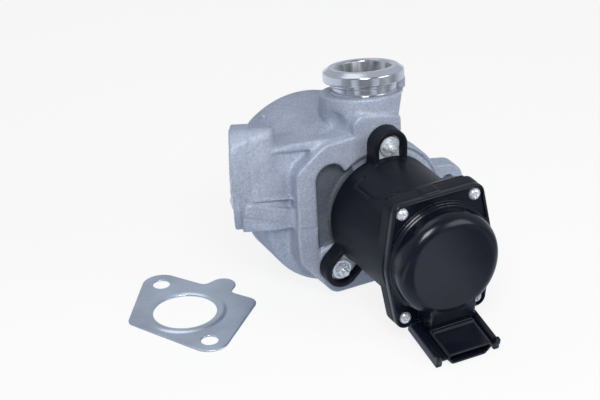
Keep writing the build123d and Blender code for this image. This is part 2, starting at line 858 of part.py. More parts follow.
front_bearing = sealed_bearing(sleeve_start)
save(front_bearing, "front_bearing")
rear_bearing = sealed_bearing(sleeve_end - bearing_height)
save(rear_bearing, "rear_bearing")

# Plate that closes the can and holds the rear bearing
end_plate_start = can_end - end_plate_thickness
with BuildPart() as end_plate:
    with BuildSketch(valve_plane.offset(end_plate_start)):
        Circle(can_radius - can_wall - part_gap / 2)
    extrude(amount=end_plate_thickness)
    with BuildSketch(valve_plane.offset(end_plate_start)):
        Circle(bearing_radius + end_hub_wall)
    extrude(amount=end_plate_thickness + end_hub_height)
    with BuildSketch(valve_plane.offset(end_plate_start)):
        Circle(bearing_radius + part_gap / 2)
    extrude(amount=end_plate_thickness + end_hub_height, mode=Mode.SUBTRACT)
save(end_plate, "end_plate")

# Brushes and the card that holds them
brush_start = commutator_start + part_gap
with BuildPart() as brushes:
    with BuildSketch(valve_plane.offset(brush_start)):
        with PolarLocations(commutator_radius + running_clearance + brush_length / 2, 2):
            Rectangle(brush_length, brush_width)
    extrude(amount=brush_height)
save(brushes, "brushes")

with BuildPart() as brush_card:
    with BuildSketch(valve_plane.offset(brush_start + brush_height)):
        Circle(can_radius - can_wall - part_gap / 2)
        Circle(commutator_radius + card_bore_gap, mode=Mode.SUBTRACT)
    extrude(amount=brush_card_thickness)
    with BuildSketch(valve_plane.offset(brush_start)):
        with PolarLocations(commutator_radius + brush_box_start + brush_box_length / 2, 2):
            Rectangle(brush_box_length, brush_width + 2 * brush_box_wall)
            Rectangle(brush_length, brush_width + part_gap, mode=Mode.SUBTRACT)
    extrude(amount=brush_height)
save(brush_card, "brush_card")

# Nut inside the rotor's sleeve, the spindle that it drives, and the spindle's magnet
with BuildPart() as spindle_nut:
    with BuildSketch(valve_plane.offset(core_start)):
        Circle(sleeve_bore - part_gap / 4)
        Circle(spindle_radius + running_clearance, mode=Mode.SUBTRACT)
    extrude(amount=nut_height)
save(spindle_nut, "spindle_nut")

spindle_start = stem_top + part_gap
with BuildPart() as lead_spindle:
    with BuildSketch(valve_plane.offset(spindle_start)):
        Circle(spindle_radius)
        Rectangle(2 * spindle_radius, spindle_flat, mode=Mode.INTERSECT)
    extrude(amount=spindle_flat_length)
    with BuildSketch(valve_plane.offset(spindle_start + spindle_flat_length)):
        Circle(spindle_radius)
    extrude(amount=spindle_length - spindle_flat_length)
save(lead_spindle, "lead_spindle")

with BuildPart() as position_magnet:
    with BuildSketch(valve_plane.offset(spindle_start + spindle_length)):
        Circle(sensor_magnet_radius)
    extrude(amount=sensor_magnet_length)
save(position_magnet, "position_magnet")

# Cover: flange, round dome, connector neck and connector shell
cover_start = body_length
cover_face = cover_start + cover_flange_thickness
dome_face = cover_face + dome_height
shell_drop = connector_height * cos(radians(connector_drop))
shell_back = connector_height * sin(radians(connector_drop))
pin_middle = -connector_height / 2
pin_xs = [(index - (pin_count - 1) / 2) * pin_pitch for index in range(pin_count)]
pin_leg_depth = (connector_top - pin_middle * cos(radians(connector_drop))) - pin_leg_top


def pin_shapes(gap):
    """Profiles of the bent terminal pins, with a gap all round for their slots in the plastic."""
    leg_plane = Plane(
        origin=(axis_x, face_y - pin_leg_front, axis_z - pin_leg_top),
        x_dir=(1, 0, 0),
        z_dir=(0, 0, -1),
    )
    with BuildPart() as shapes:
        with BuildSketch(leg_plane):
            with Locations(*[(x, 0) for x in pin_xs]):
                Rectangle(pin_size + 2 * gap, pin_size + 2 * gap)
        extrude(amount=pin_leg_depth + pin_size / 2 + gap)
        with BuildSketch(connector_plane.offset(connector_length - pin_tip_inset + gap)):
            with Locations(*[(x, pin_middle) for x in pin_xs]):
                Rectangle(pin_size + 2 * gap, pin_size + 2 * gap)
        extrude(amount=-(connector_length - pin_tip_inset + connector_front - pin_leg_front + gap))
    return shapes


pin_slots = pin_shapes(part_gap / 2)
with BuildPart() as actuator_cover:
    with BuildSketch(valve_plane.offset(cover_start)):
        Circle(block_core_radius)
        with Locations(*cover_spots):
            Circle(block_corner_radius)
        make_hull()
    extrude(amount=cover_flange_thickness)
    with BuildSketch(valve_plane.offset(cover_face)):
        Circle(dome_radius)
    extrude(amount=dome_height)
    fillet(actuator_cover.edges().filter_by(GeomType.CIRCLE).sort_by(Axis.Y)[0], dome_round)
    # Pockets round the cover screws
    with BuildSketch(valve_plane.offset(cover_face)):
        with Locations(*cover_spots):
            Circle(cover_pocket_radius)
        Circle(dome_radius, mode=Mode.SUBTRACT)
    extrude(amount=-cover_pocket_depth, mode=Mode.SUBTRACT)
    # Neck that slopes from the dome's face down to the connector
    with BuildSketch(side_plane):
        with BuildLine():
            Polyline(
                (cover_start + moulding_overlap, -neck_top),
                (dome_face - neck_blend, -neck_top),
                (dome_face, -neck_top - neck_blend),
                (connector_front, -connector_top),
                (connector_front - shell_back, -connector_top - shell_drop),
                (cover_start + moulding_overlap, -connector_top - shell_drop + neck_rise),
                close=True,
            )
        make_face()
    extrude(amount=connector_neck_half_width, both=True)
    with BuildSketch(connector_plane):
        with Locations((0, -connector_height / 2)):
            RectangleRounded(2 * connector_half_width, connector_height, connector_round)
    extrude(amount=connector_length)
    with BuildSketch(connector_plane.offset(-connector_lip / 2)):
        with Locations((0, connector_lip / 2 - connector_lip_root / 2)):
            Rectangle(2 * connector_neck_half_width, connector_lip + connector_lip_root)
    extrude(amount=connector_lip)
    # Latch tab under the mouth
    with BuildSketch(connector_plane.offset(connector_length)):
        with Locations((0, -connector_height)):
            Rectangle(2 * latch_half_width, 2 * latch_height)
    extrude(amount=-latch_depth)
    # Guide rails at both sides of the shell, from the flange to past the mouth
    rail_level = -connector_height / 2 - rail_drop
    rail_middle = connector_half_width + connector_rail_width / 2 - rail_root_width
    with BuildSketch(connector_plane.offset(connector_length + rail_nose)):
        with Locations((-rail_middle, rail_level), (rail_middle, rail_level)):
            Rectangle(connector_rail_width, connector_height - 2 * rail_inset)
    extrude(amount=-(connector_length + rail_nose + rail_root))
    # Room inside the dome, and the posts that carry the circuit board
    with BuildSketch(valve_plane.offset(cover_start)):
        Circle(dome_radius - dome_wall)
    extrude(amount=cover_flange_thickness + dome_height - dome_wall, mode=Mode.SUBTRACT)
    with BuildSketch(valve_plane.offset(board_height + board_thickness + part_gap)):
        with PolarLocations(board_post_circle, 4, start_angle=45):
            Circle(board_post_radius)
    extrude(amount=dome_face - dome_wall / 2 - board_height - board_thickness - part_gap)
    # Connector socket, screw holes and pin slots
    socket_width = 2 * (connector_half_width - 2 * connector_wall)
    with BuildSketch(connector_plane.offset(connector_length)):
        with Locations((0, -connector_height / 2)):
            RectangleRounded(socket_width, connector_height - 2 * connector_wall, connector_round)
    extrude(amount=-connector_socket_depth, mode=Mode.SUBTRACT)
    with BuildSketch(valve_plane.offset(cover_start)):
        with Locations(*cover_spots):
            Circle(cover_screw_radius + part_gap)
    extrude(amount=cover_flange_thickness, mode=Mode.SUBTRACT)
    add(pin_slots.part, mode=Mode.SUBTRACT)
save(actuator_cover, "actuator_cover")

terminal_pins = pin_shapes(0)
save(terminal_pins, "terminal_pins")

# Cover screws: round heads in the pockets of the cover's flange
cover_screw_seat = cover_face - cover_pocket_depth
with BuildPart() as cover_screws:
    with BuildSketch(valve_plane.offset(cover_start - cover_screw_reach)):
        with Locations(*cover_spots):
            Circle(cover_screw_radius)
    extrude(amount=cover_screw_reach + cover_screw_seat - cover_start)
    with BuildSketch(valve_plane.offset(cover_screw_seat)):
        with Locations(*cover_spots):
            Circle(cover_head_radius)
    extrude(amount=cover_head_height)
save(cover_screws, "cover_screws")

# Circuit board with the sensor that faces the spindle's magnet
with BuildPart() as circuit_board:
    with BuildSketch(valve_plane.offset(board_height)):
        Circle(board_radius)
        with Locations((0, -board_radius)):
            Rectangle(2 * board_radius, 2 * (board_radius - pin_leg_top + pin_size), mode=Mode.SUBTRACT)
    extrude(amount=board_thickness)
save(circuit_board, "circuit_board")

with BuildPart() as hall_sensor:
    with BuildSketch(valve_plane.offset(board_height - sensor_height)):
        Rectangle(sensor_size, sensor_width)
    extrude(amount=sensor_height)
save(hall_sensor, "hall_sensor")

# Flange gasket, lying on the floor beside the valve, with a raised bead round its port
gasket_plane = Plane(
    origin=(gasket_x, gasket_y, floor_z),
    x_dir=(cos(radians(gasket_turn)), sin(radians(gasket_turn)), 0),
    z_dir=(0, 0, 1),
)
gasket_bolt_x = flange_bolt_spacing / 2 * cos(radians(gasket_bolt_angle))
gasket_bolt_y = flange_bolt_spacing / 2 * sin(radians(gasket_bolt_angle))
gasket_bolts = [(gasket_bolt_x, gasket_bolt_y), (-gasket_bolt_x, -gasket_bolt_y)]
with BuildPart() as flange_gasket:
    with BuildSketch(gasket_plane) as gasket_outline:
        with Locations(*gasket_bolts):
            Circle(gasket_ear_radius)
        with Locations(gasket_side):
            Circle(gasket_side_radius)
        with Locations(gasket_corner):
            Circle(gasket_corner_radius)
        make_hull()
        with Locations(gasket_lobe):
            Circle(gasket_lobe_radius)
        with Locations(gasket_lobe_root):
            Circle(gasket_lobe_root_radius)
    extrude(amount=gasket_thickness)
    with BuildSketch(gasket_plane.offset(gasket_thickness)):
        Circle(gasket_port_radius + 2 * gasket_bead + gasket_rim)
        Circle(gasket_port_radius + gasket_rim, mode=Mode.SUBTRACT)
    extrude(amount=gasket_bead_height)
    with BuildSketch(gasket_plane):
        Circle(gasket_port_radius)
        with Locations(*gasket_bolts):
            Circle(gasket_hole_radius)
    extrude(amount=gasket_thickness, mode=Mode.SUBTRACT)
save(flange_gasket, "flange_gasket")
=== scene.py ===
"""Exhaust gas recirculation valve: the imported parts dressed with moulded, cast and machined surfaces."""
import json
import math

import bpy
import numpy as np
from mathutils import Matrix, Vector


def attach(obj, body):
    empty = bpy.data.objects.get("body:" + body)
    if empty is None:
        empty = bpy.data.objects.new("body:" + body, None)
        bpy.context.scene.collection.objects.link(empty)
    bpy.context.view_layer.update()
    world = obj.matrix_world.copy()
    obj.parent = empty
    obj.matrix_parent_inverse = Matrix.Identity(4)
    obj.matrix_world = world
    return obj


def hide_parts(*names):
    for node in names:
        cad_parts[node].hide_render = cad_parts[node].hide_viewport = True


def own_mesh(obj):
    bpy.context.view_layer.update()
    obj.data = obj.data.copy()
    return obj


bl_info = {
    "name": "Exhaust gas valve dresser",
    "version": (1, 0, 0),
    "blender": (4, 5, 0),
    "location": "View3D > Sidebar > Gas valve",
    "description": "Dresses the packed valve with cast, machined and moulded surfaces",
    "category": "Object",
}

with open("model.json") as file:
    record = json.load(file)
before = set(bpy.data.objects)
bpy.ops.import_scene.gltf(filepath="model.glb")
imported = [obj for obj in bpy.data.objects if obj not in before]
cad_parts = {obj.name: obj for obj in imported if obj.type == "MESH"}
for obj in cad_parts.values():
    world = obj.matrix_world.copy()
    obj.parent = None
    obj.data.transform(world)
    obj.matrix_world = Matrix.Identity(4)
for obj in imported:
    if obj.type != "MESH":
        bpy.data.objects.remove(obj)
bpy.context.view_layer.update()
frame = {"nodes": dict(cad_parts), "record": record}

# Places and sizes that several pieces share, in millimetres; some are on the world's axes, and the pairs are
# across and up from the valve's axis, or forwards and up from the inlet port's
AXIS_X = 64.0
FACE_Y = -32.0
AXIS_Z = -20.0
FLOOR_Z = -63.2
INLET_TURN = math.radians(25.5)
SPIGOT_TOP = (68.5, -8.9, 46.0)
SPIGOT_LEAN = (math.tan(math.radians(4.7)), math.tan(math.radians(11.6)), 1.0)
LUG_CIRCLE = 35.6
LUG_WAYS = [(math.cos(math.radians(a)), math.sin(math.radians(a))) for a in (87.0, 222.0, 334.0)]
LUG_SPOTS = [(LUG_CIRCLE * c, LUG_CIRCLE * s) for c, s in LUG_WAYS]
COVER_SPOTS = [(x, z) for x in (-19.2, 19.2) for z in (-27.7, 27.7)]
LUG_HEIGHT = 8.9
SEAT_HEIGHT = 5.4
LUG_BOSS = 10.6
FLANGE_SPOTS = [(19.605, 23.364), (-19.605, -23.364)]
FLANGE_EAR = 11
DRUM_SPOT = (-15, 0.8)
EAR_SPOT = (39.5, 1.8)
BLOCK_END = 54
RAMP_EDGE = [(-14.6, 10.5, 25.1), (-19.1, 10.8, 21.9), (-18.7, 30.0, 22.3), (-17.6, 42.0, 23.2)]
CONNECTOR_DROP = math.radians(14.0)
COVER_FACE = 57.8
POCKET_FLOOR = 56.3
PORT_RADIUS = 14
GASKET_PLACE = (-33.3, -6.3)
GASKET_TURN = math.radians(-25.2)
GASKET_CORNERS = [
    ((-12.405, 27.863), 9.7), ((-22.4, -5.6), 5.2), ((12.405, -27.863), 9.7), ((28.8, 5.0), 6.2),
]
GASKET_LOBE = ((18.3, 24.0), 6.6, (12.8, 16.8), 8.6)


# Distance fields: each gives a point's distance to a shape, negative inside it


def lattice(low, high, step):
    """Three open axes of a regular grid between two corners."""
    axes = [np.arange(a, b + step, step, dtype=np.float32) for a, b in zip(low, high)]
    return axes[0][:, None, None], axes[1][None, :, None], axes[2][None, None, :]


def join(a, b, blend=0.0):
    """Union: the smaller distance, with a fillet of about the blend's size where the two are alike."""
    if blend <= 0:
        return np.minimum(a, b)
    share = np.clip(0.5 + 0.5 * (b - a) / blend, 0, 1)
    return b + (a - b) * share - blend * share * (1 - share)


def meet(a, b, blend=0.0):
    """Intersection: the larger distance, rounded where the two are alike."""
    return -join(-a, -b, blend)


def carve(a, b, blend=0.0):
    """The first shape without the second."""
    return meet(a, -b, blend)


def disc(a, b, centre, radius):
    """A circle in two coordinates."""
    return np.hypot(a - centre[0], b - centre[1]) - radius


def slab_hull(a, b, start, start_radius, end, end_radius):
    """The hull of two circles: two arcs and their common tangents."""
    way = np.array([end[0] - start[0], end[1] - start[1]])
    length = float(np.hypot(*way))
    way = way / length
    along = (a - start[0]) * way[0] + (b - start[1]) * way[1]
    side = np.abs((a - start[0]) * way[1] - (b - start[1]) * way[0])
    lean = (start_radius - end_radius) / length
    rise = math.sqrt(1 - lean * lean)
    key = along * rise - side * lean
    flank = side * rise + along * lean - start_radius
    nose = np.hypot(side, along - length) - end_radius
    tail = np.hypot(side, along) - start_radius
    return np.where(key < 0, tail, np.where(key > rise * length, nose, flank))


def box_outline(a, b, centre, half_a, half_b, corner=0.0):
    """A rectangle with rounded corners in two coordinates."""
    qa = np.abs(a - centre[0]) - half_a + corner
    qb = np.abs(b - centre[1]) - half_b + corner
    return np.hypot(np.maximum(qa, 0), np.maximum(qb, 0)) + np.minimum(np.maximum(qa, qb), 0) - corner


def convex_outline(a, b, corners, blend):
    """A convex outline: the largest of the distances to its edges' lines, rounded between neighbours."""
    field = None
    centre = np.mean(corners, axis=0)
    for start, end in zip(corners, corners[1:] + corners[:1]):
        normal = np.array([end[1] - start[1], start[0] - end[0]])
        normal = normal / np.hypot(*normal)
        if np.dot(normal, centre - start) > 0:
            normal = -normal
        line = (a - start[0]) * normal[0] + (b - start[1]) * normal[1]
        field = line if field is None else meet(field, line, blend)
    return field


def stretch(outline, height, low, high, round_low=0.0, round_high=0.0):
    """An outline carried from one height to another, with its two rims rounded."""
    middle = (low + high) / 2
    edge = np.where(height > middle, round_high, round_low).astype(np.float32)
    side = outline + edge
    end = np.abs(height - middle) - (high - low) / 2 + edge
    return np.hypot(np.maximum(side, 0), np.maximum(end, 0)) + np.minimum(np.maximum(side, end), 0) - edge


def valve_axes(x, y, z):
    """Coordinates on the valve: across, along the axis towards the actuator, and up."""
    return x - AXIS_X, FACE_Y - y, z - AXIS_Z


def inlet_axes(x, y, z):
    """Coordinates on the inlet flange: towards the front, up, and outwards."""
    s, c = math.sin(INLET_TURN), math.cos(INLET_TURN)
    return -x * s - y * c, z + 0 * x, -x * c + y * s


def spigot_axes(x, y, z):
    """Radius from the spigot's axis, and the height over its top."""
    lean = np.array(SPIGOT_LEAN) / np.linalg.norm(SPIGOT_LEAN)
    dx, dy, dz = x - SPIGOT_TOP[0], y - SPIGOT_TOP[1], z - SPIGOT_TOP[2]
    height = dx * lean[0] + dy * lean[1] + dz * lean[2]
    square = dx * dx + dy * dy + dz * dz - height * height
    return np.sqrt(np.maximum(square, 0)), height


# From a distance field to a mesh


def skin(field, low, step):
    """Surface where the field is zero: one point in each cell that it crosses, at the mean of the
    crossings on the cell's edges, and one four-sided face round each crossed edge."""
    field = field.astype(np.float32)
    inside = field < 0
    shape = tuple(n - 1 for n in field.shape)
    total = np.zeros(shape + (3,), dtype=np.float32)
    count = np.zeros(shape, dtype=np.float32)
    crossings = []
    for axis in range(3):
        first = [slice(None)] * 3
        second = [slice(None)] * 3
        first[axis] = slice(0, -1)
        second[axis] = slice(1, None)
        cut = inside[tuple(first)] != inside[tuple(second)]
        spots = np.argwhere(cut)
        a = field[tuple(first)][cut]
        b = field[tuple(second)][cut]
        points = spots.astype(np.float32)
        points[:, axis] += a / (a - b)
        others = [k for k in range(3) if k != axis]
        for shift_a in (0, 1):
            for shift_b in (0, 1):
                cell = spots.copy()
                cell[:, others[0]] -= shift_a
                cell[:, others[1]] -= shift_b
                real = np.all((cell >= 0) & (cell < np.array(shape)), axis=1)
                index = tuple(cell[real].T)
                np.add.at(total, index, points[real])
                np.add.at(count, index, 1)
        crossings.append((axis, spots, inside[tuple(first)][cut]))
    used = count > 0
    number = np.full(shape, -1, dtype=np.int64)
    number[used] = np.arange(int(used.sum()))
    points = total[used] / count[used][:, None]
    faces = []
    for axis, spots, outwards in crossings:
        b_axis = (axis + 1) % 3
        c_axis = (axis + 2) % 3
        ring = []
        for shift_b, shift_c in ((1, 1), (0, 1), (0, 0), (1, 0)):
            cell = spots.copy()
            cell[:, b_axis] -= shift_b
            cell[:, c_axis] -= shift_c
            ring.append(number[tuple(np.clip(cell, 0, np.array(shape) - 1).T)])
        quads = np.stack(ring, axis=1)
        quads[~outwards] = quads[~outwards][:, ::-1]
        faces.append(quads[np.all(quads >= 0, axis=1)])
    points = settle(field, points)
    return points * step + np.array(low, dtype=np.float32), np.concatenate(faces)


def sample(field, points):
    """The field between its grid points, weighted by the distance to the eight nearest."""
    top = np.array(field.shape) - 1.001
    spots = np.clip(points, 0, top)
    base = spots.astype(np.int64)
    part = spots - base
    value = np.zeros(len(points), dtype=np.float32)
    for corner in range(8):
        shift = np.array([corner & 1, corner >> 1 & 1, corner >> 2 & 1])
        weight = np.prod(np.where(shift, part, 1 - part), axis=1)
        value += weight * field[tuple((base + shift).T)]
    return value


def settle(field, points, rounds=2, reach=0.3):
    """Moves each point along the field's slope until the field is zero there."""
    for _ in range(rounds):
        value = sample(field, points)
        slope = np.zeros_like(points)
        for axis in range(3):
            shift = np.zeros(3, dtype=np.float32)
            shift[axis] = 0.5
            slope[:, axis] = sample(field, points + shift) - sample(field, points - shift)
        steep = np.maximum((slope ** 2).sum(axis=1), 1e-6)
        move = slope * (value / steep)[:, None]
        size = np.linalg.norm(move, axis=1, keepdims=True)
        points = points - move * np.minimum(1, reach / np.maximum(size, 1e-6))
    return points


def piece(name, points, faces, materials, kinds=None):
    """A smooth mesh object on the housing from points in millimetres and four-sided faces, with each face's
    material by its number."""
    mesh = bpy.data.meshes.new(name)
    mesh.vertices.add(len(points))
    mesh.vertices.foreach_set("co", (np.asarray(points, dtype=np.float32) / 1000).ravel())
    mesh.loops.add(faces.size)
    mesh.loops.foreach_set("vertex_index", faces.astype(np.int32).ravel())
    mesh.polygons.add(len(faces))
    mesh.polygons.foreach_set("loop_start", np.arange(0, faces.size, 4, dtype=np.int32))
    mesh.polygons.foreach_set("loop_total", np.full(len(faces), 4, dtype=np.int32))
    if kinds is not None:
        mesh.polygons.foreach_set("material_index", kinds.astype(np.int32))
    mesh.update(calc_edges=True)
    mesh.validate()
    mesh.polygons.foreach_set("use_smooth", np.full(len(mesh.polygons), True))
    for material in materials:
        mesh.materials.append(material)
    obj = bpy.data.objects.new(name, mesh)
    bpy.context.scene.collection.objects.link(obj)
    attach(obj, "housing")
    return obj


def stand_in(name, shell, materials, share, node, kinds=None):
    """A piece from a shell's points and faces that is shown in place of a CAD node, with this share of its
    triangles kept where the surface is curved."""
    obj = piece(name, *shell, materials, kinds)
    obj.modifiers.new("fewer", "DECIMATE").ratio = share
    graph = bpy.context.evaluated_depsgraph_get()
    mesh = bpy.data.meshes.new_from_object(obj.evaluated_get(graph))
    obj.modifiers.clear()
    obj.data = mesh
    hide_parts(node)


def gather(shells):
    """Several shells as one: their points in a row, and their faces numbered on."""
    starts = np.cumsum([0] + [len(points) for points, _ in shells[:-1]])
    faces = [faces + start for (_, faces), start in zip(shells, starts)]
    return np.concatenate([points for points, _ in shells]), np.concatenate(faces)


def face_middles(points, faces):
    """The middle of each face."""
    return points[faces].mean(axis=1)


def turn(profile, origin, axis, steps):
    """A profile of radius and height carried round an axis: radius times the way out, plus height
    times the axis."""
    axis = np.array(axis) / np.linalg.norm(axis)
    side = np.cross((1.0, 0.0, 0.0), axis)
    side = side / np.linalg.norm(side)
    other = np.cross(axis, side)
    angles = np.linspace(0, 2 * np.pi, steps, endpoint=False)
    round_way = np.cos(angles)[:, None] * side + np.sin(angles)[:, None] * other
    radius, height = profile.T[:, None, :, None]
    points = np.array(origin) + radius * round_way[:, None, :] + height * axis
    rows = len(profile)
    i, j = np.meshgrid(np.arange(steps), np.arange(rows - 1), indexing="ij")
    k = (i + 1) % steps
    faces = np.stack([i * rows + j, k * rows + j, k * rows + j + 1, i * rows + j + 1], axis=-1)
    return points.reshape(-1, 3), faces.reshape(-1, 4)


def rounded_path(corners, radius, steps):
    """An open path whose corners give way to quadratic curves, each about the radius long."""
    corners = np.array(corners, dtype=float)
    path = [corners[:1]]
    share = np.linspace(0, 1, steps + 1)[:, None]
    for before, here, after in zip(corners[:-2], corners[1:-1], corners[2:]):
        a = here - before
        b = after - here
        reach = min(radius, np.linalg.norm(a) / 2, np.linalg.norm(b) / 2)
        start = here - a / np.linalg.norm(a) * reach
        end = here + b / np.linalg.norm(b) * reach
        path.append((1 - share) ** 2 * start + 2 * share * (1 - share) * here + share ** 2 * end)
    path.append(corners[-1:])
    return braced(np.concatenate(path))


def braced(path, inset=0.12):
    """The path with two more points on each long run, just inside its ends, so that the run shades flat."""
    runs = np.diff(path, axis=0)
    length = np.linalg.norm(runs, axis=1)
    rows = [path[:1]]
    for start, run, size in zip(path, runs, length):
        if size > 5 * inset:
            rows.append(start + run * np.array([[inset / size], [1 - inset / size]]))
        rows.append((start + run)[None])
    return np.concatenate(rows)


# Materials: noise on object coordinates drives colour, roughness and bump, over the middle of its range

NOISE_LOW = 0.3
NOISE_HIGH = 0.7


def shader(name, colour, metallic=0.0, roughness=0.5, specular=0.5):
    """A material with one Principled shader and the object's coordinates."""
    material = bpy.data.materials.new(name)
    material.use_nodes = True
    nodes = material.node_tree.nodes
    bsdf = nodes["Principled BSDF"]
    bsdf.inputs["Base Color"].default_value = (*colour, 1)
    bsdf.inputs["Metallic"].default_value = metallic
    bsdf.inputs["Roughness"].default_value = roughness
    bsdf.inputs["Specular IOR Level"].default_value = specular
    where = nodes.new("ShaderNodeTexCoord")
    where.name = "where"
    return material


def noise(material, scale, octaves, stretch_by=None):
    """Noise on the object's coordinates, in cycles per metre."""
    nodes, links = material.node_tree.nodes, material.node_tree.links
    source = nodes["where"].outputs["Object"]
    if stretch_by:
        place = nodes.new("ShaderNodeMapping")
        place.inputs["Scale"].default_value = stretch_by
        links.new(source, place.inputs["Vector"])
        source = place.outputs["Vector"]
    texture = nodes.new("ShaderNodeTexNoise")
    texture.inputs["Scale"].default_value = scale
    texture.inputs["Detail"].default_value = octaves
    links.new(source, texture.inputs["Vector"])
    return texture.outputs["Fac"]


def spread(material, value, low, high):
    """A noise's middle range moved to another range, and held inside it."""
    node = material.node_tree.nodes.new("ShaderNodeMapRange")
    for key, number in zip(("From Min", "From Max", "To Min", "To Max"), (NOISE_LOW, NOISE_HIGH, low, high)):
        node.inputs[key].default_value = number
    material.node_tree.links.new(value, node.inputs["Value"])
    return node.outputs["Result"]


def tint(material, value, stops):
    """A colour ramp from a value."""
    ramp = material.node_tree.nodes.new("ShaderNodeValToRGB")
    ramp.color_ramp.elements[0].position = stops[0][0]
    ramp.color_ramp.elements[0].color = (*stops[0][1], 1)
    ramp.color_ramp.elements[1].position = stops[-1][0]
    ramp.color_ramp.elements[1].color = (*stops[-1][1], 1)
    for position, colour in stops[1:-1]:
        ramp.color_ramp.elements.new(position).color = (*colour, 1)
    material.node_tree.links.new(value, ramp.inputs["Fac"])
    return ramp.outputs["Color"]


def finish(material, colour, roughness=None, bumps=()):
    """Links colour and roughness, and stacks bumps of (height value, distance in metres)."""
    nodes, links = material.node_tree.nodes, material.node_tree.links
    bsdf = nodes["Principled BSDF"]
    links.new(colour, bsdf.inputs["Base Color"])
    if roughness is not None:
        links.new(roughness, bsdf.inputs["Roughness"])
    last = None
    for height, distance in bumps:
        bump = nodes.new("ShaderNodeBump")
        bump.inputs["Distance"].default_value = distance
        links.new(height, bump.inputs["Height"])
        if last:
            links.new(last, bump.inputs["Normal"])
        last = bump.outputs["Normal"]
    if last:
        links.new(last, bsdf.inputs["Normal"])
    return material


def scaled(colour, factor):
    """A colour made lighter or darker."""
    return tuple(min(1.0, c * factor) for c in colour)


def shaded(material, value, colour, dark, light):
    """A colour that a noise makes darker and lighter."""
    return tint(material, value, [(NOISE_LOW, scaled(colour, dark)), (NOISE_HIGH, scaled(colour, light))])


def cast_metal(name, colour, grain):
    """Blasted light alloy: a fine granular skin, cloudy brightness and a dull sheen."""
    m = shader(name, colour, metallic=0.3, roughness=0.55, specular=0.3)
    cloud = noise(m, 60, 4)
    sand = noise(m, 1150, 3)
    fine = noise(m, 3600, 2)
    stops = [(0.3, scaled(colour, 0.86)), (0.5, colour), (0.72, scaled(colour, 1.12))]
    speckle = tint(m, sand, [(NOISE_LOW, (0.3, 0.3, 0.31)), (NOISE_HIGH, (0.72, 0.72, 0.73))])
    mix = m.node_tree.nodes.new("ShaderNodeMix")
    mix.data_type = "RGBA"
    mix.blend_type = "OVERLAY"
    mix.inputs["Factor"].default_value = 0.5
    m.node_tree.links.new(tint(m, cloud, stops), mix.inputs["A"])
    m.node_tree.links.new(speckle, mix.inputs["B"])
    rough = spread(m, fine, 0.45, 0.66)
    return finish(m, mix.outputs["Result"], rough, [(sand, grain), (fine, grain / 2)])


def machined_metal(name, colour, lines=(1, 1, 60), roughness=0.28, grain=0.000004):
    """Turned or milled metal: fine parallel tool marks."""
    m = shader(name, colour, metallic=0.9, roughness=roughness, specular=0.5)
    marks = noise(m, 90, 3, stretch_by=lines)
    cloud = noise(m, 45, 2)
    rough = spread(m, marks, roughness - 0.06, roughness + 0.1)
    return finish(m, shaded(m, cloud, colour, 0.88, 1.08), rough, [(marks, grain)])


def reflection_streaked_metal(name, colour):
    """Honed metal with painted reflections: light and dark streaks along the bore that stand in for lamp
    reflections.
    """
    m = shader(name, colour, metallic=0.45, roughness=0.34, specular=0.5)
    marks = noise(m, 210, 2, stretch_by=(1, 1, 0.05))
    # Stops from about a third to one and a half times the colour: painted reflection streaks
    stops = [(0.36, scaled(colour, 0.38)), (0.5, scaled(colour, 0.75)), (0.64, scaled(colour, 1.5))]
    return finish(m, tint(m, marks, stops), bumps=[(marks, 0.00001)])


def black_plastic(name, colour, roughness, grain, specular=0.2):
    """Glass-filled moulded plastic: a fine grain and faint flow marks."""
    m = shader(name, colour, roughness=roughness, specular=specular)
    skin_noise = noise(m, 2400, 2)
    flow = noise(m, 40, 3, stretch_by=(1, 1, 2.4))
    rough = spread(m, flow, roughness - 0.05, roughness + 0.06)
    return finish(m, shaded(m, flow, colour, 0.8, 1.3), rough, [(skin_noise, grain)])


def plain_metal(name, colour, roughness, metallic=1.0, scale=300, grain=0.000003):
    """Plated or turned metal with a soft mottled brightness."""
    m = shader(name, colour, metallic=metallic, roughness=roughness)
    cloud = noise(m, scale, 3)
    rough = spread(m, cloud, roughness - 0.07, roughness + 0.08)
    return finish(m, shaded(m, cloud, colour, 0.82, 1.12), rough, [(cloud, grain)])


def inner_finish(slot, colour):
    """Finish of a hidden piece, from its slot's own class and colour."""
    metals = {
        "chrome": (0.24, 0.5),
        "brushed_steel": (0.36, 1.0),
        "brass": (0.32, 1.0),
        "cast_iron": (0.6, 0.25),
        "aluminium": (0.4, 1.0),
    }
    kind = slot["class"]
    name = slot["slot"]
    if kind in metals:
        return plain_metal("finish_" + name, colour, *metals[kind])
    return black_plastic("finish_" + name, colour, 0.7 if kind == "rubber" else 0.5, 0.000006)


# The user's settings


